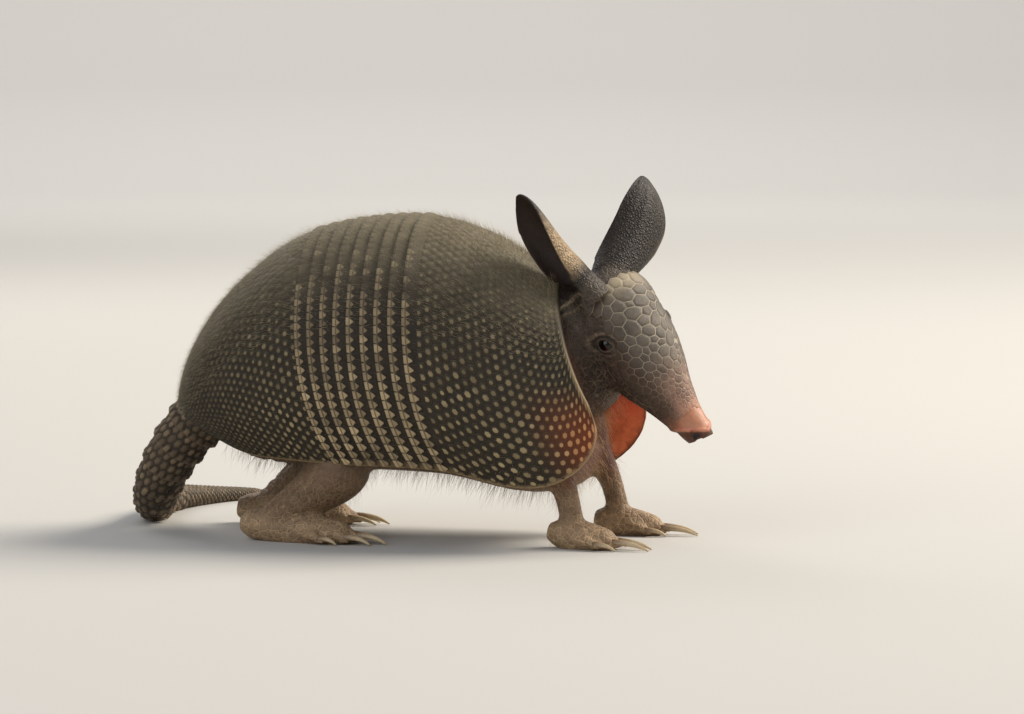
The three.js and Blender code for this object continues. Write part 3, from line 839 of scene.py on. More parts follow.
PELVIC_TILES, SHOULDER_TILES, SHELL_THICK, OVERLAP = 62, 64, 3.0, 1.2
pelvic = shield("pelvic_scutes", 0.0, PELVIC_END + OVERLAP, PELVIC_TILES, 11)
finish(pelvic, shell_paint, "shell", "pelvic_shield")
shoulder = shield("shoulder_scutes", SHOULDER_START + PITCH - 1.0, SHELL_END, SHOULDER_TILES, 23)
finish(shoulder, shell_paint, "shell", "shoulder_shield")

# %% [markdown]
# ## The eight bands
# Between the shields eight narrow bands slide over each other like roof tiles, which lets the animal
# bend. Each band is one row of scutes: a pale wedge with its broad end at the rear edge. One flat
# strip is modelled and copied, and every copy is bent round the body at its own place.

# %% One flat band
BAND_CELLS, BAND_CELL, BAND_THICK, BAND_STEP = 74, 4.27, 2.0, 1.45
BAND_TUCK = 2.0  # length that slides under the band in front
BEAD, WEDGE_END = 2.1, 4.5  # width of the bead at the rear edge, and how far the wedges reach
BAND_WIDE = BAND_CELLS * BAND_CELL


def band_sheet(name):
    """A strip of wedges; y = 0 is the rear edge, and PITCH is the length that shows."""
    piece = flat_grid(name, BAND_CELLS, 4)
    everything(piece)
    bpy.ops.transform.resize(value=(BAND_WIDE / 2, 2, 1), center_override=(0, 0, 0))
    bpy.ops.transform.translate(value=(0, 2, -BAND_THICK))
    done()
    at = points_of(piece)
    at[:, 1] = np.interp(at[:, 1], range(5), [0, BEAD, 0.8 * PITCH, PITCH, PITCH + BAND_TUCK])
    put_points(piece, at)
    thicken(piece, BAND_THICK)
    x, y, z = centres_of(piece).T
    inset(piece, (z > -0.01) & (y > BEAD) & (y < 0.7 * PITCH), (0.3, 0.0))
    at = points_of(piece)
    x, y, z = at.T
    centre = (np.floor(x / BAND_CELL + BAND_CELLS / 2) + 0.5 - BAND_CELLS / 2) * BAND_CELL
    upper = z > -0.01
    inner = upper & (y > BEAD + 0.1) & (y < 0.8 * PITCH - 0.1)
    front = inner & (y > 0.5 * PITCH)
    edge = upper & (y < 0.05)
    at[inner, 1] = np.where(front, WEDGE_END, BEAD + 0.08)[inner]
    at[front, 0] = (centre + (x - centre) * 0.2)[front]
    at[edge, 2] = -0.1
    put_points(piece, at)
    raised = np.array([all(inner[v] for v in p.vertices) for p in piece.data.polygons])
    inset(piece, raised, (0.16, 0.22), (0.3, 0.1))
    x, y, z = centres_of(piece).T
    inset(piece, (z > -0.12) & (y < BEAD) & (y > 0.05), (0.22, 0.26), (0.3, 0.12))
    return piece


band_master = band_sheet("band_master")
print("band strip", len(band_master.data.polygons), "faces")


# %% Bend a band round the body
def band(name, first, seed, node):
    piece = copy_of(band_master, name)
    x, y, z = points_of(piece).T
    names = np.clip(np.floor(x / BAND_CELL + BAND_CELLS / 2), 0, BAND_CELLS - 1).astype(int)
    middles = (names + 0.5 - BAND_CELLS / 2) * BAND_CELL
    side = np.abs(rim_angle(first + y) * x / (BAND_WIDE / 2))
    upper = z > -0.01
    # wedges are longer and broader low on the sides
    wedges = upper & (y > BEAD + 0.04) & (y < 0.6 * PITCH)
    grow_by = 0.66 + 0.5 * ramp(side, 0.7, 2.0) + 0.2 * luck(names, seed + 2)
    s = first + np.where(wedges, BEAD + (y - BEAD) * grow_by, y)
    wide = middles + (x - middles) * np.where(wedges & (y > 2.4), 1.0 + 0.9 * ramp(side, 1.0, 2.1), 1.0)
    a = rim_angle(s) * wide / (BAND_WIDE / 2)
    lift = np.where(z > 0.06, z * (0.75 + 0.4 * luck(names, seed + 3)), z)
    between = upper & (z < 0.06) & (np.abs(y - BEAD) < 0.15)
    lift = np.where(between, 0.2, lift)  # bead and wedge run into each other
    note(piece, rim=0.6 * (1 - ramp(BAND_WIDE / 2 - np.abs(wide), 0.2, 1.2)) * (z > -1.5))
    shell_masks(piece, s, a, lift, names, seed, worn=0.8)
    unroll_map(piece, x / BAND_WIDE + 0.5, y / (PITCH + BAND_TUCK), centres_of(piece)[:, 2] < -0.6,
               (0.02, 0.2), (0.3, 0.68))
    rise = BAND_STEP * np.clip(1 - y / PITCH, -0.6, 1)
    settle(piece, shell_point(s, a, rise + lift))
    finish(piece, band_paint, "shell", node)


for number in range(BANDS):
    label = BANDS - number
    band(f"band_scutes_{label}", PELVIC_END + PITCH * number, 40 + number, f"band_{label}")
band("shoulder_margin", SHOULDER_START, 60, "shoulder_shield")
bpy.data.objects.remove(band_master)

# %% [markdown]
# ## The head shield
# The top of the head wears a cap of irregular plates, large on the crown and fine along the snout,
# with pale skin in the seams. A regular grid would look woven, so the plates come from scattered
# seeds: triangles are drawn between the seeds, and each seed's plate joins the middles of its
# triangles. The plates are raised by insets while the cap is flat, then laid on the head.

# %% Scatter the plates
CROWN_FROM, CROWN_TO = 14.5, 93
PLATE_AT = [8, 20, 32, 46, 60, 76, 90, 100]  # distances behind the nose
PLATE_SIZE = [2.2, 3.0, 4.0, 5.3, 6.6, 7.0, 6.6, 5.4]  # size of a plate there
CAP_AT = [8, 26, 44, 54, 60, 68, 76, 82, 90, 99]
CAP_REACH = [72, 80, 82, 76, 62, 50, 54, 74, 86, 74]  # how far the cap reaches down each side, degrees


def plate_size(d):
    return np.interp(d, PLATE_AT, PLATE_SIZE)


def head_round(d):
    """Mean radius of the head at d."""
    return (read(HEAD, "half", d) + (read(HEAD, "top", d) - read(HEAD, "bottom", d)) / 2) / 2


fine_d = np.linspace(CROWN_FROM, CROWN_TO, 300)
fine_row = np.concatenate([[0], np.cumsum(np.diff(fine_d) / plate_size(fine_d[1:]))])


def cap_reach(d):
    return np.radians(np.interp(d, CAP_AT, CAP_REACH))


def d_of_row(row):
    return np.interp(row, fine_row, fine_d)


def triangles_round(seeds):
    """Seeds, the middles of the triangles between them, and which triangles meet at each seed."""
    verts, _, tris, *_ = delaunay_2d_cdt([Vector(p) for p in seeds], [], [], 0, 1e-5)
    verts = np.array([tuple(v) for v in verts])
    middles = verts[np.array(tris)].mean(1)
    around = {}
    for t, tri in enumerate(tris):
        for v in tri:
            around.setdefault(int(v), []).append(t)
    return verts, middles, around


def plates_flat(name):
    """Plates of about one unit each, as faces of one flat mesh."""
    step = 0.87
    seeds = [np.array([k + 0.5 * (j % 2), j * step + 0.2]) + rng.normal(0, 0.26, 2)
             for j in range(-2, int(fine_row[-1] / step) + 3) for k in range(-14, 15)]
    verts, middles, around = triangles_round(seeds)
    moved = verts.copy()
    for v, near in around.items():
        moved[v] += 0.6 * (middles[near].mean(0) - verts[v])
    verts, middles, around = triangles_round(moved)
    faces = []
    for v, near in around.items():
        x, row = verts[v]
        d = d_of_row(row)
        beyond = abs(x * plate_size(d)) > cap_reach(d) * head_round(d)
        if len(near) < 3 or beyond or not 0 <= row <= fine_row[-1]:
            continue
        spokes = middles[near] - verts[v]
        order = np.argsort(np.arctan2(spokes[:, 1], spokes[:, 0]))
        faces.append([near[i] for i in order])
    used = sorted({p for face in faces for p in face})
    again = {p: i for i, p in enumerate(used)}
    mesh = bpy.data.meshes.new(name)
    mesh.from_pydata([(*middles[p], 0) for p in used], [], [[again[p] for p in face] for face in faces])
    piece = bpy.data.objects.new(name, mesh)
    bpy.context.scene.collection.objects.link(piece)
    return piece


PLATE_THICK, PLATE_SEAM, PLATE_BROAD = 0.3, 0.045, 0.26
cap = plates_flat("head_plates")
print("plates on the head:", len(cap.data.polygons))
thicken(cap, PLATE_THICK)
# the smallest plates stay flat, as skin between the others
broad = values_of(cap.data.polygons, "area") > PLATE_BROAD
broad &= centres_of(cap)[:, 2] > PLATE_THICK - 0.001
inset(cap, broad, (0.024, 0.0), (0.034, PLATE_SEAM), (0.17, 0.016))

# %% Lay the plates on the head
at = points_of(cap)
d = d_of_row(at[:, 1])
size = plate_size(d)
side_turn = at[:, 0] * size / head_round(d)
lift = at[:, 2] - PLATE_THICK
share_down = np.abs(side_turn) / cap_reach(d)
border = np.maximum(ramp(share_down, 0.72, 1.0), 1 - ramp(d, 15.0, 25.0))
out_by = np.where(at[:, 2] > 0.01, lift * size * 0.72 - 0.1 - 0.62 * border, -2.2)
cell_name = np.rint(at[:, 0] * 0.9).astype(int) * 50 + np.rint(at[:, 1] * 1.05).astype(int)
note(cap, lift=lift, along=d, aside=np.abs(side_turn), border=ramp(share_down, 0.6, 1.0),
     tone=luck(np.abs(cell_name), 9))
point, face = corners_of(cap)
under = (centres_of(cap)[:, 2] < PLATE_THICK - 0.01)[face]
spread_u = at[point, 0] / 16 + 0.5
spread_v = 0.02 + 0.96 * at[point, 1] / (fine_row[-1] + 1)
bake_map(cap, np.stack([np.where(under, 0.02 + 0.1 * spread_u, 0.14 + 0.85 * spread_u), spread_v], axis=1))
settle(cap, from_head(head_point(d, math.pi / 2 - side_turn, out_by)))


# %% Head plate finish
def plate_finish():
    material, w = new_material("head_plates", 0.5, 0.4)
    along, aside, border = w.stored("along"), w.stored("aside"), w.stored("border")
    blotch = w.group(BLOTCHES, scale=150.0, contrast=0.7)["Mask"]
    crown = w.mix(blotch, colour(74, 66, 57), colour(104, 94, 82))
    crown = w.mix(w.times(w.stored("tone"), 0.5), crown, colour(122, 111, 97))
    snout = w.mix(blotch, colour(112, 84, 70), colour(164, 128, 108))
    tint = w.mix(w.between(along, 20.0, 50.0), snout, crown)
    tint = w.mix(w.between(along, 13.0, 24.0, 0.8, 0.0), tint, colour(196, 142, 116))
    top = w.times(w.between(along, 78.0, 90.0, 0.0, 0.75), w.between(aside, 0.4, 0.9, 1.0, 0.0))
    tint = w.mix(top, tint, colour(168, 152, 124))
    seam = w.mix(w.between(along, 15.0, 40.0), colour(194, 160, 136), colour(176, 162, 138))
    # darker down the sides of the snout, and fading out at the border
    low = w.times(w.between(aside, 0.5, 1.05), w.between(along, 10.0, 22.0, 0.2, 0.8))
    low = w.times(low, w.between(along, 62.0, 78.0, 1.0, 0.5))
    tint = w.mix(low, tint, colour(54, 41, 31))
    seam = w.mix(low, seam, colour(150, 127, 102))
    tint = w.mix(w.times(border, 0.5), tint, colour(72, 61, 49))
    seam = w.mix(w.times(border, 0.7), seam, tint)
    seam = w.mix(w.times(blotch, 0.45), seam, tint)
    in_seam = w.between(w.stored("lift"), 0.002, 0.025, 1.0, 0.0)
    w.put("Base Color", w.mix(in_seam, tint, seam))
    fine_surface(w, (0.38, 0.62), (1500.0, 0.9, 0.00022), (1300.0, 0.12, 0.00012, 0.5))
    return material


finish(cap, plate_finish(), "shell", "head_shield")

# %% [markdown]
# ## Tubes and limbs
# The soft parts begin as tubes: a grid rolled up ring by ring along a path. Tubes that overlap are
# later melted together, so each one only has to be right where it shows.

# %% Tubes along a path
COAT = 0.3  # the skin lies this deep under the solids, for its fine hair
LIMB_STEPS = 8  # rings from one joint of a limb to the next


def tube(name, rings):
    """A closed tube over rings of points, each ring with the same number."""
    rings = np.asarray(rings)
    count, around = rings.shape[:2]
    piece = flat_grid(name, around, count - 1)
    at = points_of(piece)
    j = np.rint((at[:, 0] + 1) / 2 * around).astype(int) % around
    i = np.rint((at[:, 1] + 1) / 2 * (count - 1)).astype(int)
    put_points(piece, placed(rings[i, j]))
    merge_doubles(piece, 1e-6)
    everything(piece)
    bpy.ops.mesh.fill_holes(sides=0)
    done()
    face_outwards(piece)
    return piece


def curve_through(points, steps):
    """Points along an even (centripetal) curve through the given ones, `steps` to each span."""
    points = np.asarray(points, float)
    full = np.concatenate([[2 * points[0] - points[1]], points, [2 * points[-1] - points[-2]]])
    t = np.linspace(0, 1, steps, endpoint=False)[:, None]
    made = []
    for k in range(len(points) - 1):
        p0, p1, p2, p3 = full[k:k + 4]
        t0, t1, t2 = (max(np.linalg.norm(b - a), 1e-6) ** 0.5 for a, b in ((p0, p1), (p1, p2), (p2, p3)))
        m1 = ((p1 - p0) / t0 - (p2 - p0) / (t0 + t1) + (p2 - p1) / t1) * t1
        m2 = ((p2 - p1) / t1 - (p3 - p1) / (t1 + t2) + (p3 - p2) / t2) * t1
        square = (-3 * p1 + 3 * p2 - 2 * m1 - m2) * t ** 2
        made.append(p1 + m1 * t + square + (2 * p1 - 2 * p2 + m1 + m2) * t ** 3)
    return np.concatenate(made + [points[-1:]])


def frames_along(path):
    ahead = np.gradient(path, axis=0)
    ahead /= np.linalg.norm(ahead, axis=1)[:, None]
    side = np.cross([0, 0, 1.0], ahead)
    flat = np.linalg.norm(side, axis=1)
    side = np.where(flat[:, None] > 0.14, side / np.maximum(flat, 1e-6)[:, None], [0, 1.0, 0])
    side /= np.linalg.norm(side, axis=1)[:, None]
    return ahead, side, np.cross(ahead, side)


def circle(count):
    return np.linspace(0, 2 * math.pi, count, endpoint=False)


def limb_rings(joints, around=32):
    """Rings of a tapering limb with rounded ends; each joint is x, y, z and radius."""
    joints = np.asarray(joints, float)
    path = curve_through(joints[:, :3], LIMB_STEPS)
    ahead, side, up = frames_along(path)
    table = {"s": np.linspace(0, 1, len(joints)), "r": joints[:, 3] - COAT}
    radius = read(table, "r", np.linspace(0, 1, len(path)))
    turn = circle(around)[:, None]

    def ring(k, along, share):
        r = share * radius[k]
        return path[k] + ahead[k] * along * radius[k] + r * (np.cos(turn) * side[k] + np.sin(turn) * up[k])
    ends = [ring(-1, along, share) for along, share in ((0.3, 0.94), (0.62, 0.76), (0.9, 0.42))]
    return [ring(0, -0.75, 0.6)] + [ring(k, 0, 1) for k in range(len(path))] + ends


# %% [markdown]
# ## Skin, step one: the soft forms
# Trunk, neck, head, jaw, legs and feet are laid inside the solids of the frame, a coat's depth in.
# The measures are those of the frame's own drawing.

# %% Forms of trunk, neck and head
TRUNK_GAP, BELLY_DROP = 0.9, 5  # from shell to trunk, and how far the belly hangs under the rim
HEAD_SUNK = 0.75  # the head's skin lies this deep, under its plates


def trunk_rings():
    """The trunk fills the shell; each stop is a distance, how full it is there, and a shift ahead."""
    turn = np.linspace(-BASE_ANGLE, BASE_ANGLE, 48)
    belly = np.linspace(0, math.pi, 16)[1:-1]
    stops = [(1, 0.8, -1.5), (3, 1, 0), *[(s, 1, 0) for s in range(12, 231, 9)]]
    stops += [(234, 0.92, 0), (239, 0.74, 0)]
    rings = []
    for s, full, ahead in stops:
        over = shell_point(s + 0 * turn, turn, -SHELL_THICK - TRUNK_GAP - COAT)
        lean = math.radians(float(read(SHELL, "lean", s)))
        x, y, z = over[-1]
        drop = (BELLY_DROP - COAT) * np.sin(belly)
        under = np.stack([x + drop * math.sin(lean), y * np.cos(belly), z - drop * math.cos(lean)], axis=1)
        ring = np.concatenate([over, under])
        centre = ring.mean(0)
        rings.append((ring - centre) * full + centre + [ahead, 0, 0])
    return rings


def head_rings():
    turn = circle(56)
    return [from_head(head_point(d + 0 * turn, turn, -HEAD_SUNK)) for d in HEAD_STOPS]


HEAD_STOPS = [-2, -1, 0, 1.5, 3, 6, 10, 14, 18, 23, *range(28, 83, 6), 87, 91, 95, 99, 102, HEAD_END]
THROAT = [[66, 0, 88, 38], [84, 0, 95, 37], [97, -1, 104, 32], [107, -2, 110, 21]]
NAPE = [[70, -4, 94, 33], [84, -6, 104, 29], [97, -8, 115, 23], [103, -8, 119, 14]]
forms_front = [
    tube("form_head", head_rings()),
    tube("form_throat", limb_rings(THROAT, 48)),
    tube("form_nape", limb_rings(NAPE, 48)),
]
form_trunk = tube("form_trunk", trunk_rings())

# %% Forms of legs and feet
# each leg: its joints from the body down, the foot's place, its turn in degrees, and its kind
LEGS = {
    "front_right": ([[84, -29, 60, 12], [88, -33, 44, 9.4], [95, -35, 28, 6.6], [99, -35, 10, 6.2]],
                    (98, -35), -6, "front"),
    "front_left": ([[88, 29, 60, 12], [93, 33, 44, 9], [101, 35, 28, 6.2], [106, 35, 10, 6]],
                   (105, 35), 4, "front"),
    "hind_right": ([[-27, -30, 56, 18], [-23, -37, 38, 16], [-39, -39, 24, 12], [-57, -39, 11, 9.4]],
                   (-60, -39), -8, "hind"),
    "hind_left": ([[-54, 30, 58, 18], [-51, 37, 40, 16], [-67, 39, 24, 12], [-84, 39, 11, 9.4]],
                  (-87, 39), 8, "hind"),
}
# each foot: where the sole starts and stops, its half width and height, and its toes
# each toe: across from the foot's middle line, start, length, radius and the claw's reach
FEET = {
    "front": ((-7, 17, 10.5, 13.5), [(-8.6, 9, 9, 3, 9), (-3.2, 14, 11, 3.5, 17), (3.2, 14, 11, 3.5, 16),
                                     (8.8, 8, 9, 3, 8)]),
    "hind": ((-10, 38, 11.5, 15), [(-10.4, 26, 9, 3, 8), (-5.4, 34, 12, 3.6, 13), (0, 37, 13, 3.9, 15),
                                   (5.4, 34, 12, 3.6, 13), (10.4, 26, 9, 3, 8)]),
}


def stand(points, foot_at, yaw):
    """Foot measures to the body's."""
    turned = np.asarray(points, float).copy()
    x, y = turned[..., 0].copy(), turned[..., 1].copy()
    c, s = math.cos(math.radians(yaw)), math.sin(math.radians(yaw))
    turned[..., 0], turned[..., 1] = c * x - s * y + foot_at[0], s * x + c * y + foot_at[1]
    return turned


def toe_rings(across, start, length, radius):
    """Six rings of a toe: how far along, how far across, how high, and how thick."""
    turn = circle(20)
    end = start + length
    stops = [(start - 5, 0.8, radius + 1.8, 0.9), (start + 0.15 * length, 0.97, radius + 1.7, 0.98),
             (start + 0.45 * length, 1.08, radius + 1.1, 1.02),
             (start + 0.72 * length, 1.14, radius * 0.92 + 0.5, 0.9),
             (end, 1.18, radius * 0.84, 0.8), (end + radius * 0.4, 1.2, radius * 0.74, 0.45)]
    return [np.stack([x + 0 * turn, across * y + (radius * share - COAT) * np.cos(turn),
                      z + (radius * share - COAT) * np.sin(turn)], axis=1) for x, y, z, share in stops]


forms_rear = [form_trunk]
for name, (joints, foot_at, yaw, kind) in LEGS.items():
    (start, stop, half, tall), toes = FEET[kind]
    sole = [[start, 0, tall * 0.55, half * 0.72], [(start + stop) / 2, 0, tall * 0.42, half * 0.86],
            [stop, 0, tall * 0.3, half * 0.7]]
    forms_rear.append(tube(f"form_leg_{name}", limb_rings(joints)))
    forms_rear.append(tube(f"form_sole_{name}", stand(limb_rings(sole), foot_at, yaw)))
    forms_rear += [tube(f"form_toe_{name}", stand(toe_rings(*toe[:4]), foot_at, yaw)) for toe in toes]
print("forms", len(forms_rear) + len(forms_front))

# %% [markdown]
# ## Skin, step two: melt the forms together
# A voxel remesh drops a fine net over overlapping forms and gives back one closed skin. The head
# gets a finer net than the body. The two are joined by a boolean union under the shell's front
# rim, and the join is smoothed. The back of the trunk is hidden by the shell, so its net is thinned.

# %% Remesh
def melt(name, forms, voxel):
    """One closed skin over the forms, on a net of `voxel` millimetres."""
    clear()
    for form in forms:
        form.select_set(True)
    bpy.context.view_layer.objects.active = forms[0]
    bpy.ops.object.join()
    piece = bpy.context.object
    piece.name = name
    apply_modifier(piece, "REMESH", mode="VOXEL", voxel_size=voxel * MM)
    apply_modifier(piece, "SMOOTH", factor=0.5, iterations=5)
    print(name, len(piece.data.polygons), "faces")
    return piece


skin = melt("skin", forms_rear, 1.4)
flat = points_of(skin)
flat[:, 2] = np.maximum(flat[:, 2], 0.0)  # soles stand flat on the floor
put_points(skin, flat)
head_skin = melt("head_skin", forms_front, 0.95)

# %% Thin the hidden back
spots = unplaced(centres_of(skin))
hidden = (spots[:, 2] > 66) & (spots[:, 0] > -92) & (spots[:, 0] < 70)
hidden &= ~((spots[:, 0] < -60) & (spots[:, 2] < 80))
choose(skin, "faces", hidden)
bpy.ops.mesh.decimate(ratio=0.12)
done()
print("after thinning", len(skin.data.polygons), "faces")

# %% [markdown]
# ## Skin, step three: ears
# Each ear is a thin leaf, rolled into a tube at its foot and cupped above. A sheet is bent to that
# form, given its thickness by Solidify, and joined to the skin by a boolean union, because a net
# fine enough to melt so thin a leaf would be needlessly heavy everywhere else.

# %% Ears
EAR_NARROW, EAR_THICK, EAR_SWAY, EAR_BOW = 0.36, 1.15, -5.5, 0.7
EAR_FOOT = -0.12  # the leaf starts this far under its root, in ear lengths, so that no open end shows
EAR_SUNK = 5  # the root lies this deep in the head
# root, length, half width, the way it points, the way it opens, and its roll and cup in degrees
EARS = {
    "right": {"root": (-101, -12.6, 15), "long": 59, "half": 18.2, "along": (-0.588, -0.269, 0.763),
              "open": (-0.41, -0.64, -0.64), "roll": 92, "cup": 48, "ease": 1.0},
    "left": {"root": (-97, 6.3, 15), "long": 64, "half": 16.8, "along": (0.101, 0.629, 0.771),
             "open": (-0.77, 0.54, -0.34), "roll": 100, "cup": 37, "ease": 2.2},
}


def unit(v):
    v = np.asarray(v, float)
    return v / np.linalg.norm(v)


def ear_axes(side):
    """Root, and the directions along, across and out of the cup."""
    along = unit(EARS[side]["along"])
    opened = np.asarray(EARS[side]["open"], float)
    opened = unit(opened - along * (opened @ along))
    return from_head(EARS[side]["root"]) - EAR_SUNK * along, along, np.cross(along, opened), opened


def ear_leaf(side, u, share):
    """A point of the ear's middle sheet, u up from the root; share runs from -1 to 1 across."""
    root, along, across, opened = ear_axes(side)
    ear = EARS[side]
    tip = (1 - np.clip((u - 0.6) / 0.4, 0, 1) ** 1.8) ** 0.65
    half = ear["half"] * (1 - EAR_NARROW * u) * tip + 0.3
    curl = np.radians(ear["roll"] * (1 - u) ** ear["ease"] + ear["cup"])
    radius, middle = 1.25 * half / curl, np.sin(math.pi * u)
    ribs = 0.22 * np.cos(share * 15) * ease(u * 6) * ease((1 - u) * 3) * (1 - share ** 2)
    lip = -0.7 * share ** 8 * ease(u * 3)
    depth = radius * (0.65 - np.cos(curl * share)) - EAR_BOW * middle + ribs + lip
    aside = radius * np.sin(curl * share) + EAR_SWAY * middle
    return root + along * (ear["long"] * u)[:, None] + across * aside[:, None] + opened * depth[:, None]


def make_ear(side):
    piece = flat_grid(f"form_ear_{side}", 40, 60)
    at = points_of(piece)
    put_points(piece, placed(ear_leaf(side, np.interp(at[:, 1], [-1, 1], [EAR_FOOT, 1]), at[:, 0])))
    apply_modifier(piece, "SOLIDIFY", thickness=EAR_THICK * MM, offset=0.0)
    face_outwards(piece)
    return piece


# %% Join ears, head and body
def unite(piece, other):
    apply_modifier(piece, "BOOLEAN", operation="UNION", solver="MANIFOLD", object=other)
    bpy.data.objects.remove(other)


for side in EARS:
    unite(head_skin, make_ear(side))
unite(skin, head_skin)
print("one skin", len(skin.data.polygons), "faces")


def ear_place(spots, side):
    """Height along the ear in lengths, distance across, and depth towards its opening."""
    root, along, across, opened = ear_axes(side)
    rel = spots - root
    return rel @ along / EARS[side]["long"], rel @ across, rel @ opened


def relax(piece, mask, passes):
    choose(piece, "points", mask)
    bpy.ops.mesh.vertices_smooth(factor=0.5, repeat=passes)
    done()


spots = unplaced(points_of(skin))
for side in EARS:
    u, across, depth = ear_place(spots, side)
    relax(skin, (u > -0.08) & (u < 0.15) & (np.abs(across) < 16) & (np.abs(depth) < 15), 7)
spots = unplaced(points_of(skin))
neck_join = (spots[:, 0] > 66) & (spots[:, 0] < 96) & (spots[:, 2] > 40) & (to_head(spots)[:, 0] < -92)
relax(skin, neck_join, 8)

# %% [markdown]
# ## Skin, step four: lids, nostrils, lips and folds
# The fine forms of the face are pressed into the net, much as a sculpting brush would: the lids are
# drawn over the eyeball and left open as an almond, the nose is cut off slantwise with two nostrils,
# a groove parts the lips, and folds run round the neck. The net is first made finer there.

# %% Finer net for the face
def near_face(spots):
    """The snout's end and the skin round the eyes."""
    local = to_head(spots)
    close = local[:, 0] > -14
    for eye in EYES.values():
        close |= np.linalg.norm(local - eye, axis=1) < 8.5
    return close


choose(skin, "faces", near_face(unplaced(centres_of(skin))))
bpy.ops.mesh.subdivide(number_cuts=1, smoothness=0)
done()
relax(skin, near_face(unplaced(points_of(skin))), 2)
print("with a finer face", len(skin.data.polygons), "faces")

# %% Lids
LID_LONG, LID_HIGH, LID_THICK, LID_POWER, EYE_SLANT = 3.9, 2.6, 0.4, 1.7, math.radians(36)
# folds of the lids: distance from the opening, width, height, and how much more below the eye
LID_FOLDS = [(0.55, 0.45, 0.28, 0), (1.6, 0.5, -0.42, 0), (2.8, 0.8, 0.2, 0.35), (4.4, 0.7, -0.3, 0),
             (5.6, 0.7, 0.14, 0)]


def noise_at(points, scale, seed=0.0):
    shift = Vector((seed, seed * 1.7, seed * 0.3))
    return np.array([chance.noise(Vector(p) * scale + shift) for p in points])


def eye_axes(side):
    """Eye middle, the long and short way of its opening, and the way out, in the head's frame."""
    out = head_point(EYE_BACK, EYE_LIFT, 1) - head_point(EYE_BACK, EYE_LIFT, 0)
    out = unit(out * [1, 1 if side == "left" else -1, 1])
    forward = unit(np.array([1, 0, 0]) - out * out[0])
    up = np.cross(out, forward)
    up = up if up[2] > 0 else -up
    c, s = math.cos(EYE_SLANT), math.sin(EYE_SLANT)
    return EYES[side], c * forward + s * up, c * up - s * forward, out


def eye_place(local, side):
    """Place along and across the eye's opening and outwards, and how far outside the opening."""
    middle_at, *ways = eye_axes(side)
    p, q, w = ((local - middle_at) @ np.stack(ways, axis=1)).T
    rho = ((np.abs(p) / LID_LONG) ** LID_POWER + (np.abs(q) / LID_HIGH) ** LID_POWER) ** (1 / LID_POWER)
    return p, q, w, 2.5 * (rho - 1)


def draw_lids(local, side):
    """How far the skin moves so that it lies over the eyeball, folded, with an almond left open."""
    p, q, w, gap = eye_place(local, side)
    far = np.hypot(p, q)
    ball = np.sqrt(EYE_RADIUS ** 2 - np.minimum(far, EYE_RADIUS * 0.98) ** 2)
    lid = np.maximum(w, ball + LID_THICK * (1 - ramp(far, 3.4, 6.5)))
    for middle, wide, high, lower in LID_FOLDS:
        lid = lid + (high + lower * ramp(-q, -1.0, 2.5)) * bump_at(gap, middle, wide)
    inside = 1 - ramp(gap, -0.25, 0.15)
    new = lid * (1 - inside) + (ball - 0.8) * inside
    fade = (1 - ramp(far, 8.0, 11.0)) * ((far < 11) & (w > -3))
    return ((new - w) * fade)[:, None] * eye_axes(side)[3]


# %% Nose and mouth
NOSE_END = 18  # how far back the nose's own forms reach
NOSTRIL_AT, NOSTRIL_SIZE, NOSTRIL_DEEP = np.array([-2.0, 6.2, 6.4]), np.array([4.2, 3.0, 2.8]), 3.0
JAW_AT, JAW_LINE = [4, 7.9, 26, 46, 66], [-4.2, -4.6, -6.4, -9.6, -13]
FOLD_PITCH = 6.2


def under_nose(local):
    """How far a point lies below the slanting rim of the nose, in millimetres."""
    return (1.6 * local[:, 0] + 0.7 * np.abs(local[:, 1]) - 0.93 * local[:, 2] + 11) / 1.98


def nostril_pit(local, turned):
    """0 outside a nostril, 1 at its middle."""
    away = (local - NOSTRIL_AT * [1, turned, 1]) / NOSTRIL_SIZE
    return np.sqrt(np.clip(1 - (away ** 2).sum(1), 0, 1))


def clear_of_ears(spots):
    """1 on the body, fading to 0 on the ears."""
    share = np.ones(len(spots))
    for side in EARS:
        u, across, depth = ear_place(spots, side)
        share *= 1 - ramp(u, 0.03, 0.12) * (1 - ramp(np.hypot(across, depth), 17, 23))
    return share


def neck_folds(spots, local, wob):
    """Where the neck is folded, and the folds' wave from -1 to 1."""
    d, z, around = -local[:, 0], local[:, 2], np.hypot(local[:, 1], local[:, 2])
    where = ramp(d, 84, 92) * (1 - ramp(d, 116, 124)) * (1 - ramp(around, 38, 46)) * ramp(-z, -16, -4)
    return where * clear_of_ears(spots), np.cos((d + 5 * wob - 0.25 * z) * 2 * math.pi / FOLD_PITCH)


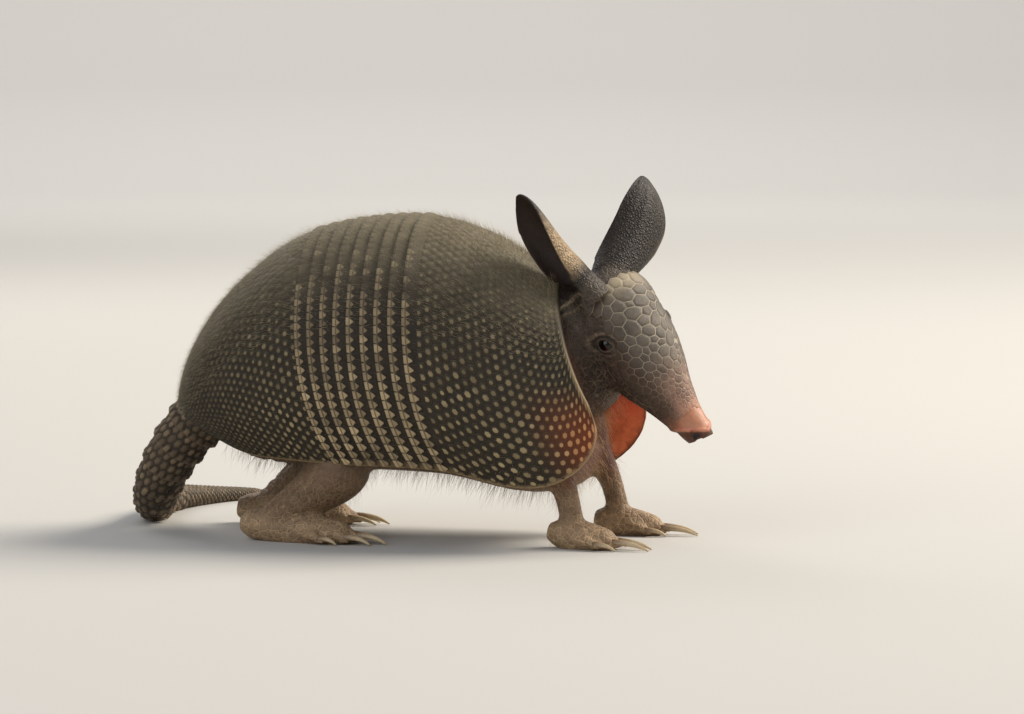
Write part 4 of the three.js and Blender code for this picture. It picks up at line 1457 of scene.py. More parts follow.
# %% Press in the face
def press(piece):
    """The skin's points with nose, mouth, cheeks, neck folds and lids pressed in."""
    spots = unplaced(points_of(piece))
    plain_at, way = to_head(spots), values_of(piece.data.vertices, "normal", 3) @ HEAD_TURN
    d, y, z = -plain_at[:, 0], plain_at[:, 1], plain_at[:, 2]
    on_head = (np.hypot(y, z) < head_round(np.clip(d, 0, HEAD_END)) + 4) & (d < 112)
    # the slanting nose and its nostrils
    slope = np.array([math.cos(NOSE_TILT), 0, -math.sin(NOSE_TILT)])
    beyond = np.maximum(plain_at @ slope - NOSE_FLAT * math.cos(NOSE_TILT), 0)
    local = plain_at - (beyond * on_head)[:, None] * slope
    under, at_nose = under_nose(local), (d < NOSE_END) * on_head
    rim = 0.5 * bump_at(under, -0.7, 0.8) - 0.8 * ramp(under, 0, 1.4)
    local = local + way * (rim * at_nose)[:, None]
    for turned in (1, -1):
        pit = NOSTRIL_DEEP * nostril_pit(local, turned) * at_nose
        local = local + pit[:, None] * unit([-0.75, -0.66 * turned, 0])
    # lips, cheeks and the folds of the neck
    jaw, wob = np.interp(d, JAW_AT, JAW_LINE), noise_at(local, 0.09, 3)
    lips = ramp(d, 3, 7) * (1 - ramp(d, 58, 68)) * ramp(np.abs(y), 2, 6)
    groove = sum(high * bump_at(z, jaw + up, wide)
                 for up, wide, high in ((0, 0.55, -0.75), (1.4, 0.8, 0.28), (-1.5, 0.8, 0.15)))
    cheek = 0.9 * bump_at(d, 74, 12) * bump_at(z, -12, 8)
    where, wave = neck_folds(spots, plain_at, wob)
    move = (groove * lips + cheek + 0.35 * wob * ramp(d, 14, 40)) * on_head + 0.75 * where * wave
    local = local + way * move[:, None]
    for side in EYES:
        local = local + draw_lids(local, side)
    return from_head(local)


# %% Folds of belly and legs
normals = values_of(skin.data.vertices, "normal", 3)
spots = press(skin)
x, y, z = spots.T
off_head = ramp(-to_head(spots)[:, 0], HEAD_END, 116)
rough = noise_at(spots, 0.11, 9)
low_leg = 1 - ramp(z, 34, 46)
belly = ramp(z, 24, 30) * (1 - ramp(z, 44, 52)) * (np.abs(y) < 46)
leg_rings = 0.3 * np.cos((z + 3 * rough) * 2 * math.pi / 4.2) * low_leg * ramp(z, 9, 16)
belly_rings = 0.55 * np.cos((x + 6 * rough) * 2 * math.pi / 7.4) * belly
warts = 0.45 * noise_at(spots, 0.42, 4) * (low_leg + belly)
at = placed(spots + normals * ((leg_rings + belly_rings + warts) * off_head)[:, None])
at[:, 2] = np.maximum(at[:, 2], 0)
put_points(skin, at)
print("skin box", at.min(0).round(4), at.max(0).round(4))

# %% [markdown]
# ## Skin, step five: colour by region and the unwrapped map
# Skin changes colour over the body: grey on the head, dark on the cheeks, pink at the nose, a dark
# red at the throat, painted as shade reddened by light shining through the skin, dark ears and pale
# feet. Light and shade are painted as well: pale on the crests of the neck's and lids' folds, dark in
# the lids' creases, along the lips, below the nose's rim and in the nostrils, and sunlight on the
# back of the right ear. Each point gets its colour from soft rules about where it lies, and masks
# say where scales or pebbles show. The same rules cut the skin into a few large charts for its map:
# head, trunk, each leg, each foot and both sides of the ears.

# %% Places on the ears
EAR_SIDE = 19  # the ear reaches this far from its middle line


def on_ear(spots, side, foot, clear, behind):
    """Which points or faces lie on the ear, above its foot and clear of the head."""
    u, across, depth = ear_place(spots, side)
    local = to_head(spots)
    ear = (u > foot) & (u < 1.1) & (np.abs(across) < EAR_SIDE) & (depth > -14) & (depth < 16)
    return ear & ((np.hypot(local[:, 1], local[:, 2]) > clear) | (local[:, 0] < -behind))


def into_cup(spots, ways, side):
    """Above 0 where the surface looks into the ear's cup."""
    root, along, aside, opened = ear_axes(side)
    across = ear_place(spots, side)[1]
    return -(ways @ aside) * np.clip(across / 9, -1, 1) + (ways @ opened) * 0.9


# %% Paint the skin
class Paint:
    """A colour for each point, laid on in coats."""

    def __init__(self, count, *screen_colour):
        self.tint = np.tile(colour(*screen_colour), (count, 1))

    def lay(self, share, *screen_colour):
        """Blends a colour over the painted ones by a share for each point."""
        share = np.clip(share, 0, 1)[:, None]
        self.tint = self.tint * (1 - share) + colour(*screen_colour) * share


def paint_body(coat, spots, local, patchy):
    """Belly, legs, neck and throat."""
    x, y, z = spots.T
    d, around = -local[:, 0], np.hypot(local[:, 1], local[:, 2])
    coat.lay(ramp(patchy, -0.2, 0.3) * 0.5, 120, 96, 74)
    coat.lay((1 - ramp(z, 26, 46)) * 0.9, 136, 112, 86)
    coat.lay((1 - ramp(z, 8, 20)) * 0.85, 172, 146, 114)
    coat.lay(ramp(d, 80, 100) * ramp(x, 52, 72) * 0.9, 92, 76, 60)
    # painted shade: the throat and chest beside the lobes are painted a dark maroon, as shade reddened by
    # light shining through the skin
    throat = ramp(x, 84, 100) * (1 - ramp(z, 70, 86)) * ramp(z, 24, 40)
    coat.lay(throat * ramp(around - head_round(np.clip(d, 0, HEAD_END)), 1, 7) * 0.85, 84, 40, 29)


def paint_head(coat, spots, local, head, fleck):
    """Head, cheeks, snout, nose, lips and nape; gives back where cheeks and nose are."""
    d, z = -local[:, 0], local[:, 2]
    coat.lay(head, 74, 64, 53)
    cheek = ramp(-z, -4, 4) * ramp(d, 18, 34) * (1 - ramp(d, 70, 96)) * head
    coat.lay(cheek * 0.85, 50, 39, 28)
    # painted highlight: pale paint on the crests of the neck folds
    where, wave = neck_folds(spots, local, noise_at(local, 0.09, 3))
    coat.lay(where * ramp(wave, 0.1, 0.9) * 0.8, 160, 142, 112)
    coat.lay(ramp(-z, 12, 18) * head * 0.6, 84, 62, 44)
    snout = (1 - ramp(d + 4 * fleck, 16, 40)) * head
    coat.lay(snout * 0.9, 72, 54, 40)
    coat.lay(snout * (1 - ramp(d, 14, 22)) * 0.8, 140, 100, 78)
    nose = (1 - ramp(d + 1.5 * fleck - 0.45 * z, 8, 15)) * head
    coat.lay(nose, 178, 116, 88)
    coat.lay(nose * ramp(z, 1, 6) * 0.5, 202, 144, 112)
    under = under_nose(local)
    coat.lay(bump_at(under, -0.7, 0.7) * (d < 15) * nose * 0.6, 226, 140, 118)
    # painted shade: below the nose's slanting rim the end face is painted dark brown, its own brown skin
    # darkened further, and the nostrils are painted near black, as shade in their openings
    coat.lay(ramp(under, -0.1, 0.9) * (d < NOSE_END) * head * 0.92, 74, 46, 33)
    for turned in (1, -1):
        coat.lay(ramp(nostril_pit(local, turned), 0.0, 0.45) * (d < 13) * head, 16, 9, 7)
    jaw = np.interp(d, JAW_AT, JAW_LINE)
    # painted shade: a dark line along the groove between the lips
    coat.lay(bump_at(z, jaw, 0.8) * (d < 64) * head * 0.75, 40, 26, 18)
    coat.lay(ramp(jaw - z, 0.5, 3) * ramp(d, 9, 14) * (1 - ramp(d, 14, 26)) * head * 0.7, 130, 92, 72)
    return cheek, nose


def paint_lids(coat, local):
    """Pale rings on the crests of the lids' folds and dark rings in their creases, painted light and shade,
    and a dark opening.
    """
    for side in EYES:
        p, q, w, gap = eye_place(local, side)
        near = np.hypot(p, q) < 12
        # painted light and shade: the pale rings lie on the folds' crests, the outer one paler above the eye,
        # and the dark rings in their creases
        for middle, wide, share, tint in ((0.55, 0.5, 0.75, (104, 90, 75)), (1.7, 0.6, 0.8, (34, 27, 21)),
                                          (3.0, 0.8, 0.3 + 0.4 * ramp(q, -1, 2), (134, 118, 98)),
                                          (4.4, 0.8, 0.35, (48, 40, 32))):
            coat.lay(bump_at(gap, middle, wide) * near * share, *tint)
        coat.lay((1 - ramp(gap, -0.25, 0.12)) * near, 24, 15, 11)


def paint_ears(coat, spots, ways):
    """Dark and smooth inside, dusky and pebbled behind, with painted sunlight on the right ear's back; gives
    back the ears and the pebbles.
    """
    ears, pebble = np.zeros(len(spots)), np.zeros(len(spots))
    for side in EARS:
        u, ear = ear_place(spots, side)[0], on_ear(spots, side, 0.02, 24, 92)
        cup = ramp(into_cup(spots, ways, side), -0.15, 0.25) * ear
        back = ear - cup
        coat.lay(ear * ramp(u, 0.02, 0.12), 40, 31, 22)
        coat.lay(cup, 40, 25, 16)
        # painted sunlight: the back of the right ear is painted pale, the left ear's back stays dark
        if side == "right":
            coat.lay(0.9 * back * (1 - ramp(u, 0.45, 0.85)) * ramp(u, 0.1, 0.3), 182, 157, 122)
        coat.lay(back * ramp(u, 0.8, 1.0) * 0.6, 40, 30, 26)
        pebble = np.maximum(pebble, back * (1 - 0.75 * ramp(u, 0.5, 0.9)))
        ears = np.maximum(ears, ear)
    return ears, pebble


def paint_skin(piece):
    spots = unplaced(points_of(piece))
    ways = values_of(piece.data.vertices, "normal", 3)
    local = to_head(spots)
    d, around = -local[:, 0], np.hypot(local[:, 1], local[:, 2])
    head = (1 - ramp(d, 100, 112)) * (1 - ramp(around, 34, 40))
    patchy, fleck = noise_at(spots, 0.06, 2), noise_at(spots, 0.5, 5)
    coat = Paint(len(spots), 96, 76, 58)
    paint_body(coat, spots, local, patchy)
    cheek, nose = paint_head(coat, spots, local, head, fleck)
    paint_lids(coat, local)
    ears, pebble = paint_ears(coat, spots, ways)
    scaly = (head * ramp(d, 8, 20) + (1 - ramp(spots[:, 2], 26, 46)) * 0.9) * (1 - ears)
    speckled = coat.tint * (1 + 0.16 * fleck + 0.12 * patchy)[:, None]
    note_colour(piece, "tint", np.clip(speckled, 0.002, 1))
    note(piece, scaly=np.clip(scaly, 0, 1) * (1 - nose), pebble=pebble, cheek=cheek * (1 - nose), damp=nose)
    note_colour(piece, "flow", local * [0.00045, 0.001, 0.001])


paint_skin(skin)


# %% Chart the skin
def around_turn(angle, middle_angle):
    """The angle's turn past the middle one, as a share of a full turn, from -0.5 to 0.5."""
    return ((angle - middle_angle + math.pi) % (2 * math.pi) - math.pi) / (2 * math.pi)


class Charts:
    """Puts every face in one chart and lays the charts side by side."""

    def __init__(self, piece):
        self.point, self.face = corners_of(piece)
        self.spots, self.middles = unplaced(points_of(piece)), unplaced(centres_of(piece))
        self.place = np.zeros((len(self.point), 2))
        self.count = 0

    def lay(self, faces, u, v, box):
        """Fills a box, given as left, bottom, width and height, with u and v of the faces' corners."""
        left, bottom, wide, high = box
        use = faces[self.face]
        self.place[use] = np.stack([left + wide * u[use], bottom + high * np.clip(v[use], 0, 1)], axis=1)
        self.count += 1

    def roll(self, faces, angle_of, length_of, box):
        """A chart rolled off round an axis."""
        middle = angle_of(self.middles)[self.face]
        turn = around_turn(angle_of(self.spots)[self.point], middle) + middle / (2 * math.pi) + 0.5
        self.lay(faces, np.clip(turn, -0.03, 1.03), length_of(self.spots)[self.point], box)

    def press_flat(self, faces, u_of, v_of, box):
        self.lay(faces, np.clip(u_of(self.spots), 0, 1)[self.point], v_of(self.spots)[self.point], box)


def chart_leg(charts, free, ways, left, joints, foot_at):
    """A column for the leg, and two flat charts for the foot's top and sole."""
    x, y, z = charts.middles.T
    near = free & (z < 40) & (y * np.sign(foot_at[1]) > 4) & (np.abs(x - foot_at[0] - 8) < 56)
    near &= (z < 34) | (ways[:, 2] > -0.6)
    sole = near & (z < 15) & (ways[:, 2] < 0)
    top = near & (z < 11) & ~sole
    low_joints = np.array(joints[:0:-1])

    def angle_of(p):
        middle_x = np.interp(p[:, 2], low_joints[:, 2], low_joints[:, 0])
        return np.arctan2(p[:, 1] - joints[2][1], p[:, 0] - middle_x)
    charts.roll(near & ~sole & ~top, angle_of, lambda p: (p[:, 2] - 8) / 36, (left, 0.76, 0.083, 0.22))
    for k, faces in enumerate((top, sole)):
        charts.press_flat(faces, lambda p: (p[:, 1] - foot_at[1]) / 50 + 0.5,
                          lambda p: (p[:, 0] - foot_at[0] + 30) / 100, (left + 0.046 * k, 0.52, 0.042, 0.22))
    return near


def chart_skin(piece):
    charts = Charts(piece)
    middles, ways = charts.middles, values_of(piece.data.polygons, "normal", 3)
    local = to_head(middles)
    free = np.ones(len(middles), bool)
    for row, side in enumerate(EARS):
        ear = on_ear(middles, side, 0.1, 25, 93)
        inward = into_cup(middles, ways, side) > 0
        for column, faces in enumerate((ear & inward, ear & ~inward)):
            charts.press_flat(faces & free, lambda p: ear_place(p, side)[1] / 40 + 0.5,
                              lambda p: ear_place(p, side)[0] / 1.1,
                              (0.62 + 0.19 * column, 0.02 + 0.235 * row, 0.17, 0.22))
        free &= ~ear
    head = free & (local[:, 0] > -HEAD_END) & (np.hypot(local[:, 1], local[:, 2]) < 34)
    charts.roll(head, lambda p: np.arctan2(to_head(p)[:, 1], to_head(p)[:, 2] + 1.5),
                lambda p: -to_head(p)[:, 0] / 108 + 0.02, (0.02, 0.52, 0.56, 0.46))
    free &= ~head
    for k, (joints, foot_at, yaw, kind) in enumerate(LEGS.values()):
        free &= ~chart_leg(charts, free, ways, 0.62 + 0.093 * k, joints, foot_at)
    charts.roll(free, lambda p: np.arctan2(p[:, 1], 75 - p[:, 2]), lambda p: (p[:, 0] + 100) / 230,
                (0.02, 0.02, 0.56, 0.47))
    bake_map(piece, charts.place)
    print("charts", charts.count)


chart_skin(skin)


# %% Skin finish
def skin_finish():
    material, w = new_material("skin", 0.55, 0.4)
    tint = w.stored("tint", "Color")
    scaly, pebble, damp = w.stored("scaly"), w.stored("pebble"), w.stored("damp")
    cheek, flow = w.stored("cheek"), w.stored("flow", "Vector")
    scales = w.group(MOSAIC, scale=330.0, seam=0.075)
    fine = w.group(MOSAIC, scale=980.0, seam=0.12)
    beads = w.group(MOSAIC, scale=760.0, seam=0.2)
    long_scales = w.cells(360.0, "DISTANCE_TO_EDGE", flow)
    blotch = w.group(BLOTCHES, scale=120.0, contrast=0.8)["Mask"]
    body = w.mix(w.times(blotch, 0.3), tint, w.shade(tint, 0.55, 0.5, 0.46))
    darker, lighter = w.shade(body, 0.62, 0.58, 0.55), w.shade(body, 2.1, 2.0, 1.85)
    body = w.mix(w.times(w.between(long_scales, 0.03, 0.12, 0.55, 0.0), cheek), body, colour(134, 117, 94))
    body = w.mix(w.times(w.times(scales["Tone"], scaly), 0.75), body, darker)
    body = w.mix(w.times(w.times(scales["Seams"], scaly), 0.6), body, lighter)
    body = w.mix(w.times(w.times(beads["Seams"], pebble), 0.8), body, w.shade(body, 0.26, 0.23, 0.2))
    body = w.mix(w.times(w.times(beads["Tone"], pebble), 0.38), body, lighter)
    w.put("Base Color", body)
    grain = w.group(GRAIN, scale=1700.0, coarse=0.8)["Height"]
    rough = w.between(grain, 0.4, 1.2, 0.42, 0.66)
    w.put("Roughness", w.math("MULTIPLY_ADD", damp, -0.16, rough))
    # from the finest to the coarsest: each bump takes the one before as its normal
    normal = w.bump(w.times(fine["Height"], w.math("SUBTRACT", 1.0, damp)), 0.00018, 0.55)
    normal = w.bump(w.times(scales["Height"], scaly), 0.00045, 0.7, normal)
    normal = w.bump(w.times(w.between(long_scales, 0.0, 0.2), cheek), 0.0006, 0.8, normal)
    normal = w.bump(w.times(beads["Bead"], pebble), 0.0008, 0.85, normal)
    w.put("Normal", w.bump(grain, 0.00022, 0.6, normal))
    w.put("Subsurface Weight", 0.06)
    w.put("Subsurface Radius", (0.004, 0.0015, 0.0008))
    return material


smooth(skin)
finish(skin, skin_finish(), "skin", "trunk", "neck", "head", "lower_jaw", "nose_pad", "ear_left", "ear_right",
       *[f"leg_{name}" for name in LEGS], *[f"foot_{name}" for name in LEGS])

# %% [markdown]
# ## Eyes
# The eyes are small, dark and wet. A sphere is turned so that its pole looks out; the cornea is drawn
# forwards a little, and the finish puts a black pupil in a dark brown iris by the distance from that
# pole. A plain black ball would lose the glint that makes an eye look alive.

# %% Eyeballs
def eye_finish():
    material, w = new_material("eye", 0.1, 0.3)
    ring = w.stored("from_pole")
    iris = w.mix(w.noise(1400.0, 3, 0.6), colour(16, 10, 6), colour(34, 21, 12))
    ball = w.mix(w.between(ring, 0.42, 0.5), colour(3, 2, 2), iris)
    ball = w.mix(w.between(ring, 0.86, 1.0), ball, colour(20, 12, 9))
    w.put("Base Color", ball)
    w.put("Roughness", w.between(ring, 0.9, 1.2, 0.12, 0.3))
    w.put("Coat Weight", 0.15)
    w.put("Coat Roughness", 0.04)
    return material


def make_eyeball(side):
    """A ball with its cornea drawn forwards, turned so that its pole looks out between the lids."""
    clear()
    bpy.ops.mesh.primitive_uv_sphere_add(segments=40, ring_count=24, radius=EYE_RADIUS)
    ball = bpy.context.object
    ball.name = f"eyeball_{side}"
    height = points_of(ball)[:, 2]
    choose(ball, "points", height > 0.55 * EYE_RADIUS)
    bpy.ops.transform.resize(value=(1.0, 1.0, 1.07), center_override=(0, 0, 0.5 * EYE_RADIUS))
    done()
    note(ball, from_pole=np.arccos(np.clip(height / EYE_RADIUS, -1, 1)))
    at = points_of(ball)
    point, face = corners_of(ball)
    flat = at[point, :2] / (2.2 * EYE_RADIUS)
    back = (centres_of(ball)[:, 2] < 0)[face]
    bake_map(ball, np.stack([0.25 + flat[:, 0] * 0.98 + 0.5 * back, 0.5 + flat[:, 1] * 0.98], axis=1))
    middle_at, _, short, out = eye_axes(side)
    settle(ball, from_head(at @ np.stack([np.cross(short, out), short, out]) + middle_at))
    return ball


eye_paint = eye_finish()
for side in EYES:
    finish(make_eyeball(side), eye_paint, "eye", f"eye_{side}")

# %% [markdown]
# ## Tail
# The tail is cased in bony rings, each sliding into the one before, and ends in a whip of small
# scales. The rings are sheets of tiles rolled up: as the tail thins, a ring has fewer tiles rather
# than smaller ones. The tail leaves the notch of the shell, drops to the floor and lies there in a
# curve behind the animal.

# %% Route and radius
TAIL_ROUTE = [(-97, 0, 70), (-112, 0, 57.5), (-125, 2, 42.5), (-135.5, 9, 27.5), (-144, 23, 15),
              (-151, 44, 0), (-157, 73, 0), (-157, 101, 0), (-151, 128, 0), (-141, 151, 0), (-130, 167, 0)]
TAIL = {"s": [0, 60, 120, 160, 210, 262], "r": [16.5, 12.6, 9, 6.9, 4.1, 1.5]}
TAIL_RINGS, TAIL_RINGED = 12, 156  # how many rings, and how far down the tail they reach
TAIL_REST = 0.95  # where the tail lies, its middle is this share of its radius above the floor
RING_TILE, RING_ROWS = 4.6, 3  # width of a tile round the tail, and rows in a ring
route = np.array(TAIL_ROUTE, float)
knots = np.concatenate([[0], np.cumsum(np.linalg.norm(np.diff(route, axis=0), axis=1))])
lies = route[:, 2] == 0
route[lies, 2] = TAIL_REST * read(TAIL, "r", knots[lies])
tail_path = curve_through(route, 24)
tail_run = np.concatenate([[0], np.cumsum(np.linalg.norm(np.diff(tail_path, axis=0), axis=1))])
tail_side, tail_up = frames_along(tail_path)[1:]
TAIL_LONG = min(tail_run[-1], TAIL["s"][-1])
print("tail length", round(TAIL_LONG, 1))


def tail_point(s, turn, radius):
    def along(values):
        return np.stack([np.interp(s, tail_run, values[:, k]) for k in range(3)], axis=1)
    side, up = along(tail_side), along(tail_up)
    return along(tail_path) + (radius * np.cos(turn))[:, None] * side + (radius * np.sin(turn))[:, None] * up


# %% Roll up rings of tiles
def roll_tiles(name, first, last, across, rows, flare, seed, thick=2.2, crowded=1.0):
    """A sheet of tiles rolled round the tail from one length along it to another."""
    piece = tile_sheet(name, across, rows, thick)
    width = across * CELL
    wall = np.abs(np.abs(centres_of(piece)[:, 0]) - width / 2) < 0.01
    wall &= np.abs(values_of(piece.data.polygons, "normal", 3)[:, 0]) > 0.9
    choose(piece, "faces", wall)
    bpy.ops.mesh.delete(type="ONLY_FACE")
    done()
    at = points_of(piece)
    names = tile_ids(at, across)[0]
    share = np.clip(at[:, 1] / (rows * ROW), 0, 1)
    paleness = 0.35 + 0.65 * luck(names, seed + 1)
    note(piece, lift=at[:, 2], tone=luck(names, seed), paleness=paleness, share=share)
    under = centres_of(piece)[:, 2] < SEAM - 0.05
    unroll_map(piece, at[:, 0] / width + 0.5, share, under, (0.02, 0.1), (0.16, 0.82))
    s = first + (last - first) * share ** crowded
    radius = read(TAIL, "r", s)
    size = 2 * math.pi * radius / width
    keel = np.where(at[:, 2] > 0.04, 0.25 * ramp(share, 0.5, 0.95), 0)
    inward = -thick * np.minimum(size, radius / 3.2)
    rise = np.where(at[:, 2] > SEAM - 0.05, (at[:, 2] * 0.9 + keel) * size, inward)
    turn = math.pi / 2 + 2 * math.pi * at[:, 0] / width
    spots = tail_point(s, turn, radius * np.interp(share, [0, 0.72, 0.9, 1], flare) + rise)
    spots[:, 2] = np.maximum(spots[:, 2], 0)
    settle(piece, spots, merge=2e-6)
    return piece


def tail_finish():
    material, w = new_material("tail_scutes", 0.55, 0.35)
    lift, tone, pale, share = (w.stored(name) for name in ("lift", "tone", "paleness", "share"))
    blotch = w.group(BLOTCHES, scale=90.0, contrast=0.8)["Mask"]
    dark = w.mix(blotch, colour(58, 48, 36), colour(86, 73, 56))
    dark = w.mix(w.between(lift, -0.3, 0.0, 1.0, 0.0), dark, colour(34, 27, 20))
    light = w.mix(tone, colour(92, 78, 60), colour(146, 124, 96))
    body = w.mix(w.times(w.between(lift, 0.08, 0.42), pale), dark, light)
    body = w.mix(w.times(w.between(share, 0.82, 0.98), 0.35), body, colour(140, 120, 94))
    dust = w.group(DUST, **{"from": 0.2, "to": 0.95})["Mask"]
    body = w.mix(w.times(dust, 0.3), body, colour(140, 126, 100))
    w.put("Base Color", body)
    fine_surface(w, (0.45, 0.7), SHELL_PORES, (*SHELL_SCALES, 0.6))
    return material


tail_paint = tail_finish()
RING_LONG = TAIL_RINGED / TAIL_RINGS
for k in range(TAIL_RINGS):
    first = k * RING_LONG
    around = max(10, int(round(2 * math.pi * float(read(TAIL, "r", first + 6)) / RING_TILE)))
    ring = roll_tiles(f"tail_scutes_{k + 1}", first - (1.2 if k else 0), first + RING_LONG - 0.2, around,
                      RING_ROWS, [0.9, 1.0, 1.03, 1.0], 80 + k)
    finish(ring, tail_paint, "tail", f"tail_ring_{k + 1}")
whip = roll_tiles("tail_whip", TAIL_RINGED - 1.5, TAIL_LONG, 10, 40, [0.96, 0.97, 0.9, 0.55], 99,
                  thick=3.0, crowded=0.82)
finish(whip, tail_paint, "tail", "tail_tip")

# %% [markdown]
# ## Claws
# An armadillo digs with long curved claws: four on each fore foot, five on each hind foot. One claw
# is modelled as a cone with a flattened sole, cut into short lengths so it can bend; each copy is
# bent along its own curve from the toe down to the floor.

# %% One claw
clear()
bpy.ops.mesh.primitive_cone_add(vertices=14, radius1=1.0, radius2=0.16, depth=1.0, location=(0, 0, 0.5))
claw_master = bpy.context.object
bpy.ops.object.transform_apply(location=True, rotation=False, scale=False)
ends = values_of(claw_master.data.edges, "vertices", 2, np.int32)
at = points_of(claw_master)
choose(claw_master, "edges", np.abs(at[ends[:, 0], 2] - at[ends[:, 1], 2]) > 0.5)
bpy.ops.mesh.subdivide(number_cuts=9, smoothness=0)
done()
choose(claw_master, "points", points_of(claw_master)[:, 1] < -0.05)
bpy.ops.transform.resize(value=(1, 0.55, 1), center_override=(0, 0, 0))
done()
choose(claw_master, "faces", centres_of(claw_master)[:, 2] > 0.999)
bpy.ops.mesh.inset(thickness=0.05, depth=0.02)
done()
print("claw", len(claw_master.data.polygons), "faces")


def claw_finish():
    material, w = new_material("claws", 0.35, 0.45)
    along = w.stored("along")
    streak = w.noise(900.0, 3, 0.6)
    root = w.mix(streak, colour(96, 74, 52), colour(140, 112, 82))
    end = w.mix(streak, colour(176, 152, 116), colour(206, 186, 150))
    horn = w.mix(w.between(w.math("MULTIPLY_ADD", streak, 0.3, along), 0.1, 0.75), root, end)
    horn = w.mix(w.between(along, 0.9, 1.0, 0.0, 0.4), horn, colour(120, 96, 66))
    w.put("Base Color", horn)
    w.put("Roughness", w.between(streak, 0.3, 0.7, 0.28, 0.46))
    w.put("Normal", w.bump(streak, 0.00015, 0.5))
    return material


# %% Bend a claw onto each toe
def unit_rows(v):
    return v / np.maximum(np.linalg.norm(v, axis=1), 1e-6)[:, None]


def bend_claw(name, toe, foot_at, yaw):
    """A copy of the claw bent from its toe down to the floor."""
    across, start, length, radius, reach = toe
    piece = copy_of(claw_master, name)
    at, middles = points_of(piece), centres_of(piece)
    t = np.clip(at[:, 2], 0, 1.02)
    root = np.array([start + length - 2.5, across * 1.17, radius * 0.98])
    arch = np.array([start + length + reach * 0.55, across * 1.24, radius * 1.2])
    tip = np.array([start + length + reach, across * 1.26, 0.55])
    r = t[:, None]
    spine = (1 - r) ** 2 * root + 2 * r * (1 - r) * arch + r ** 2 * tip
    ahead = unit_rows(2 * (1 - r) * (arch - root) + 2 * r * (tip - arch))
    side = unit_rows(np.cross([0, 0, 1.0], ahead))
    full = radius * np.interp(t, [0, 0.35, 0.75, 1], [1, 1.02, 1.25, 1.3])
    spots = spine + (at[:, 0] * full * 0.62)[:, None] * side
    spots = stand(spots + (at[:, 1] * full * 0.72)[:, None] * np.cross(ahead, side), foot_at, yaw)
    spots[:, 2] = np.maximum(spots[:, 2], 0)
    note(piece, along=t)
    point, face = corners_of(piece)
    turn, middle_turn = (np.arctan2(p[:, 1], p[:, 0]) / (2 * math.pi) + 0.5 for p in (at, middles))
    u = (turn[point] - middle_turn[face] + 0.5) % 1 - 0.5 + middle_turn[face]
    bake_map(piece, np.stack([0.05 + 0.9 * u, 0.05 + 0.9 * t[point]], axis=1))
    settle(piece, spots)
    return piece


claw_paint = claw_finish()
for name, (joints, foot_at, yaw, kind) in LEGS.items():
    for k, toe in enumerate(FEET[kind][1], 1):
        finish(bend_claw(f"nail_{name}_{k}", toe, foot_at, yaw), claw_paint, "claw", f"claw_{name}_{k}")
bpy.data.objects.remove(claw_master)

# %% [markdown]
# ## Hair
# An armadillo is nearly bald, but fine pale hairs stand in the grooves of its shell and catch the
# light along the back; coarser ones hang from throat, belly and legs. Each hair is a thin three-sided
# blade, bent from its root and drawn to a point, and all the hairs of one region are one mesh. Each
# blade's map is a tiny patch where its root lies on the unrolled shell or skin.

# %% Grow hairs from roots
HAIR_STOPS = [0.0, 0.35, 0.7]  # a blade has three points round each stop, and one at its tip
HAIR_ALONG = np.array([stop for stop in HAIR_STOPS for _ in range(3)] + [1.0])
SIDES = [(k, (k + 1) % 3) for k in range(3)]
BLADE_FACES = [(2, 1, 0), *[(low + a, low + b, low + b + 3, low + a + 3) for low in (0, 3) for a, b in SIDES],
               *[(6 + a, 6 + b, 9) for a, b in SIDES]]
PATCH = 0.003  # a blade's place on the map: around it one way, along it the other


def blade_points(roots, ways, leans, lengths, width, curl, wild):
    side = unit_rows(np.cross(ways, leans))
    across = np.cross(side, ways)
    points = []
    for t in [*HAIR_STOPS, 1.0]:
        bend = (1 - curl) * t + curl * t ** 2
        middle_at = roots + lengths[:, None] * (ways * (t - 0.45 * curl * t ** 2) + (leans + wild) * bend)
        half = width * (1 - 0.75 * t)
        points += [middle_at + half * (math.cos(turn) * side + math.sin(turn) * across)
                   for turn in (0.5, 2.6, 4.7)]
    points[-3:] = [middle_at]
    return np.stack(points, axis=1)


def grow(name, roots, ways, leans, lengths, width, root_uv, curl, seed):
    """Blades from roots (mm), standing along `ways` and bending towards `leans`, as one mesh."""
    luck_of = np.random.default_rng(seed)
    wild = luck_of.normal(0, 0.22, (len(roots), 3))
    at = placed(blade_points(roots, ways, leans, lengths, width, curl, wild).reshape(-1, 3))
    at[:, 2] = np.maximum(at[:, 2], 0.0001)
    corners = np.concatenate(BLADE_FACES)
    loops = (corners + 10 * np.arange(len(roots))[:, None]).ravel()
    sizes = np.tile([len(face) for face in BLADE_FACES], len(roots))
    mesh = bpy.data.meshes.new(name)
    mesh.vertices.add(len(at))
    mesh.loops.add(len(loops))
    mesh.polygons.add(len(sizes))
    mesh.vertices.foreach_set("co", at.astype(np.float32).ravel())
    mesh.loops.foreach_set("vertex_index", loops.astype(np.int32))
    mesh.polygons.foreach_set("loop_start", (np.cumsum(sizes) - sizes).astype(np.int32))
    mesh.update(calc_edges=True)
    mesh.validate()
    piece = bpy.data.objects.new(name, mesh)
    bpy.context.scene.collection.objects.link(piece)
    note(piece, along=np.tile(HAIR_ALONG, len(roots)), tone=np.repeat(luck_of.random(len(roots)), 10))
    patch = np.array([(0.5 * (k % 3), 0.9 * HAIR_ALONG[k]) for k in range(9)] + [(0.5, 1.0)]) * PATCH
    bake_map(piece, (root_uv[:, None, :] + patch[None, corners, :]).reshape(-1, 2))
    smooth(piece)
    return piece


def hair_finish(name, root, tip):
    material, w = new_material(name, 0.5, 0.35)
    tint = w.mix(w.stored("along"), colour(*root), colour(*tip))
    w.put("Base Color", w.mix(w.stored("tone"), w.shade(tint, 0.6, 0.58, 0.55), tint))
    w.put("Roughness", w.between(w.noise(600.0, 2, 0.5), 0.3, 0.7, 0.4, 0.62))
    return material


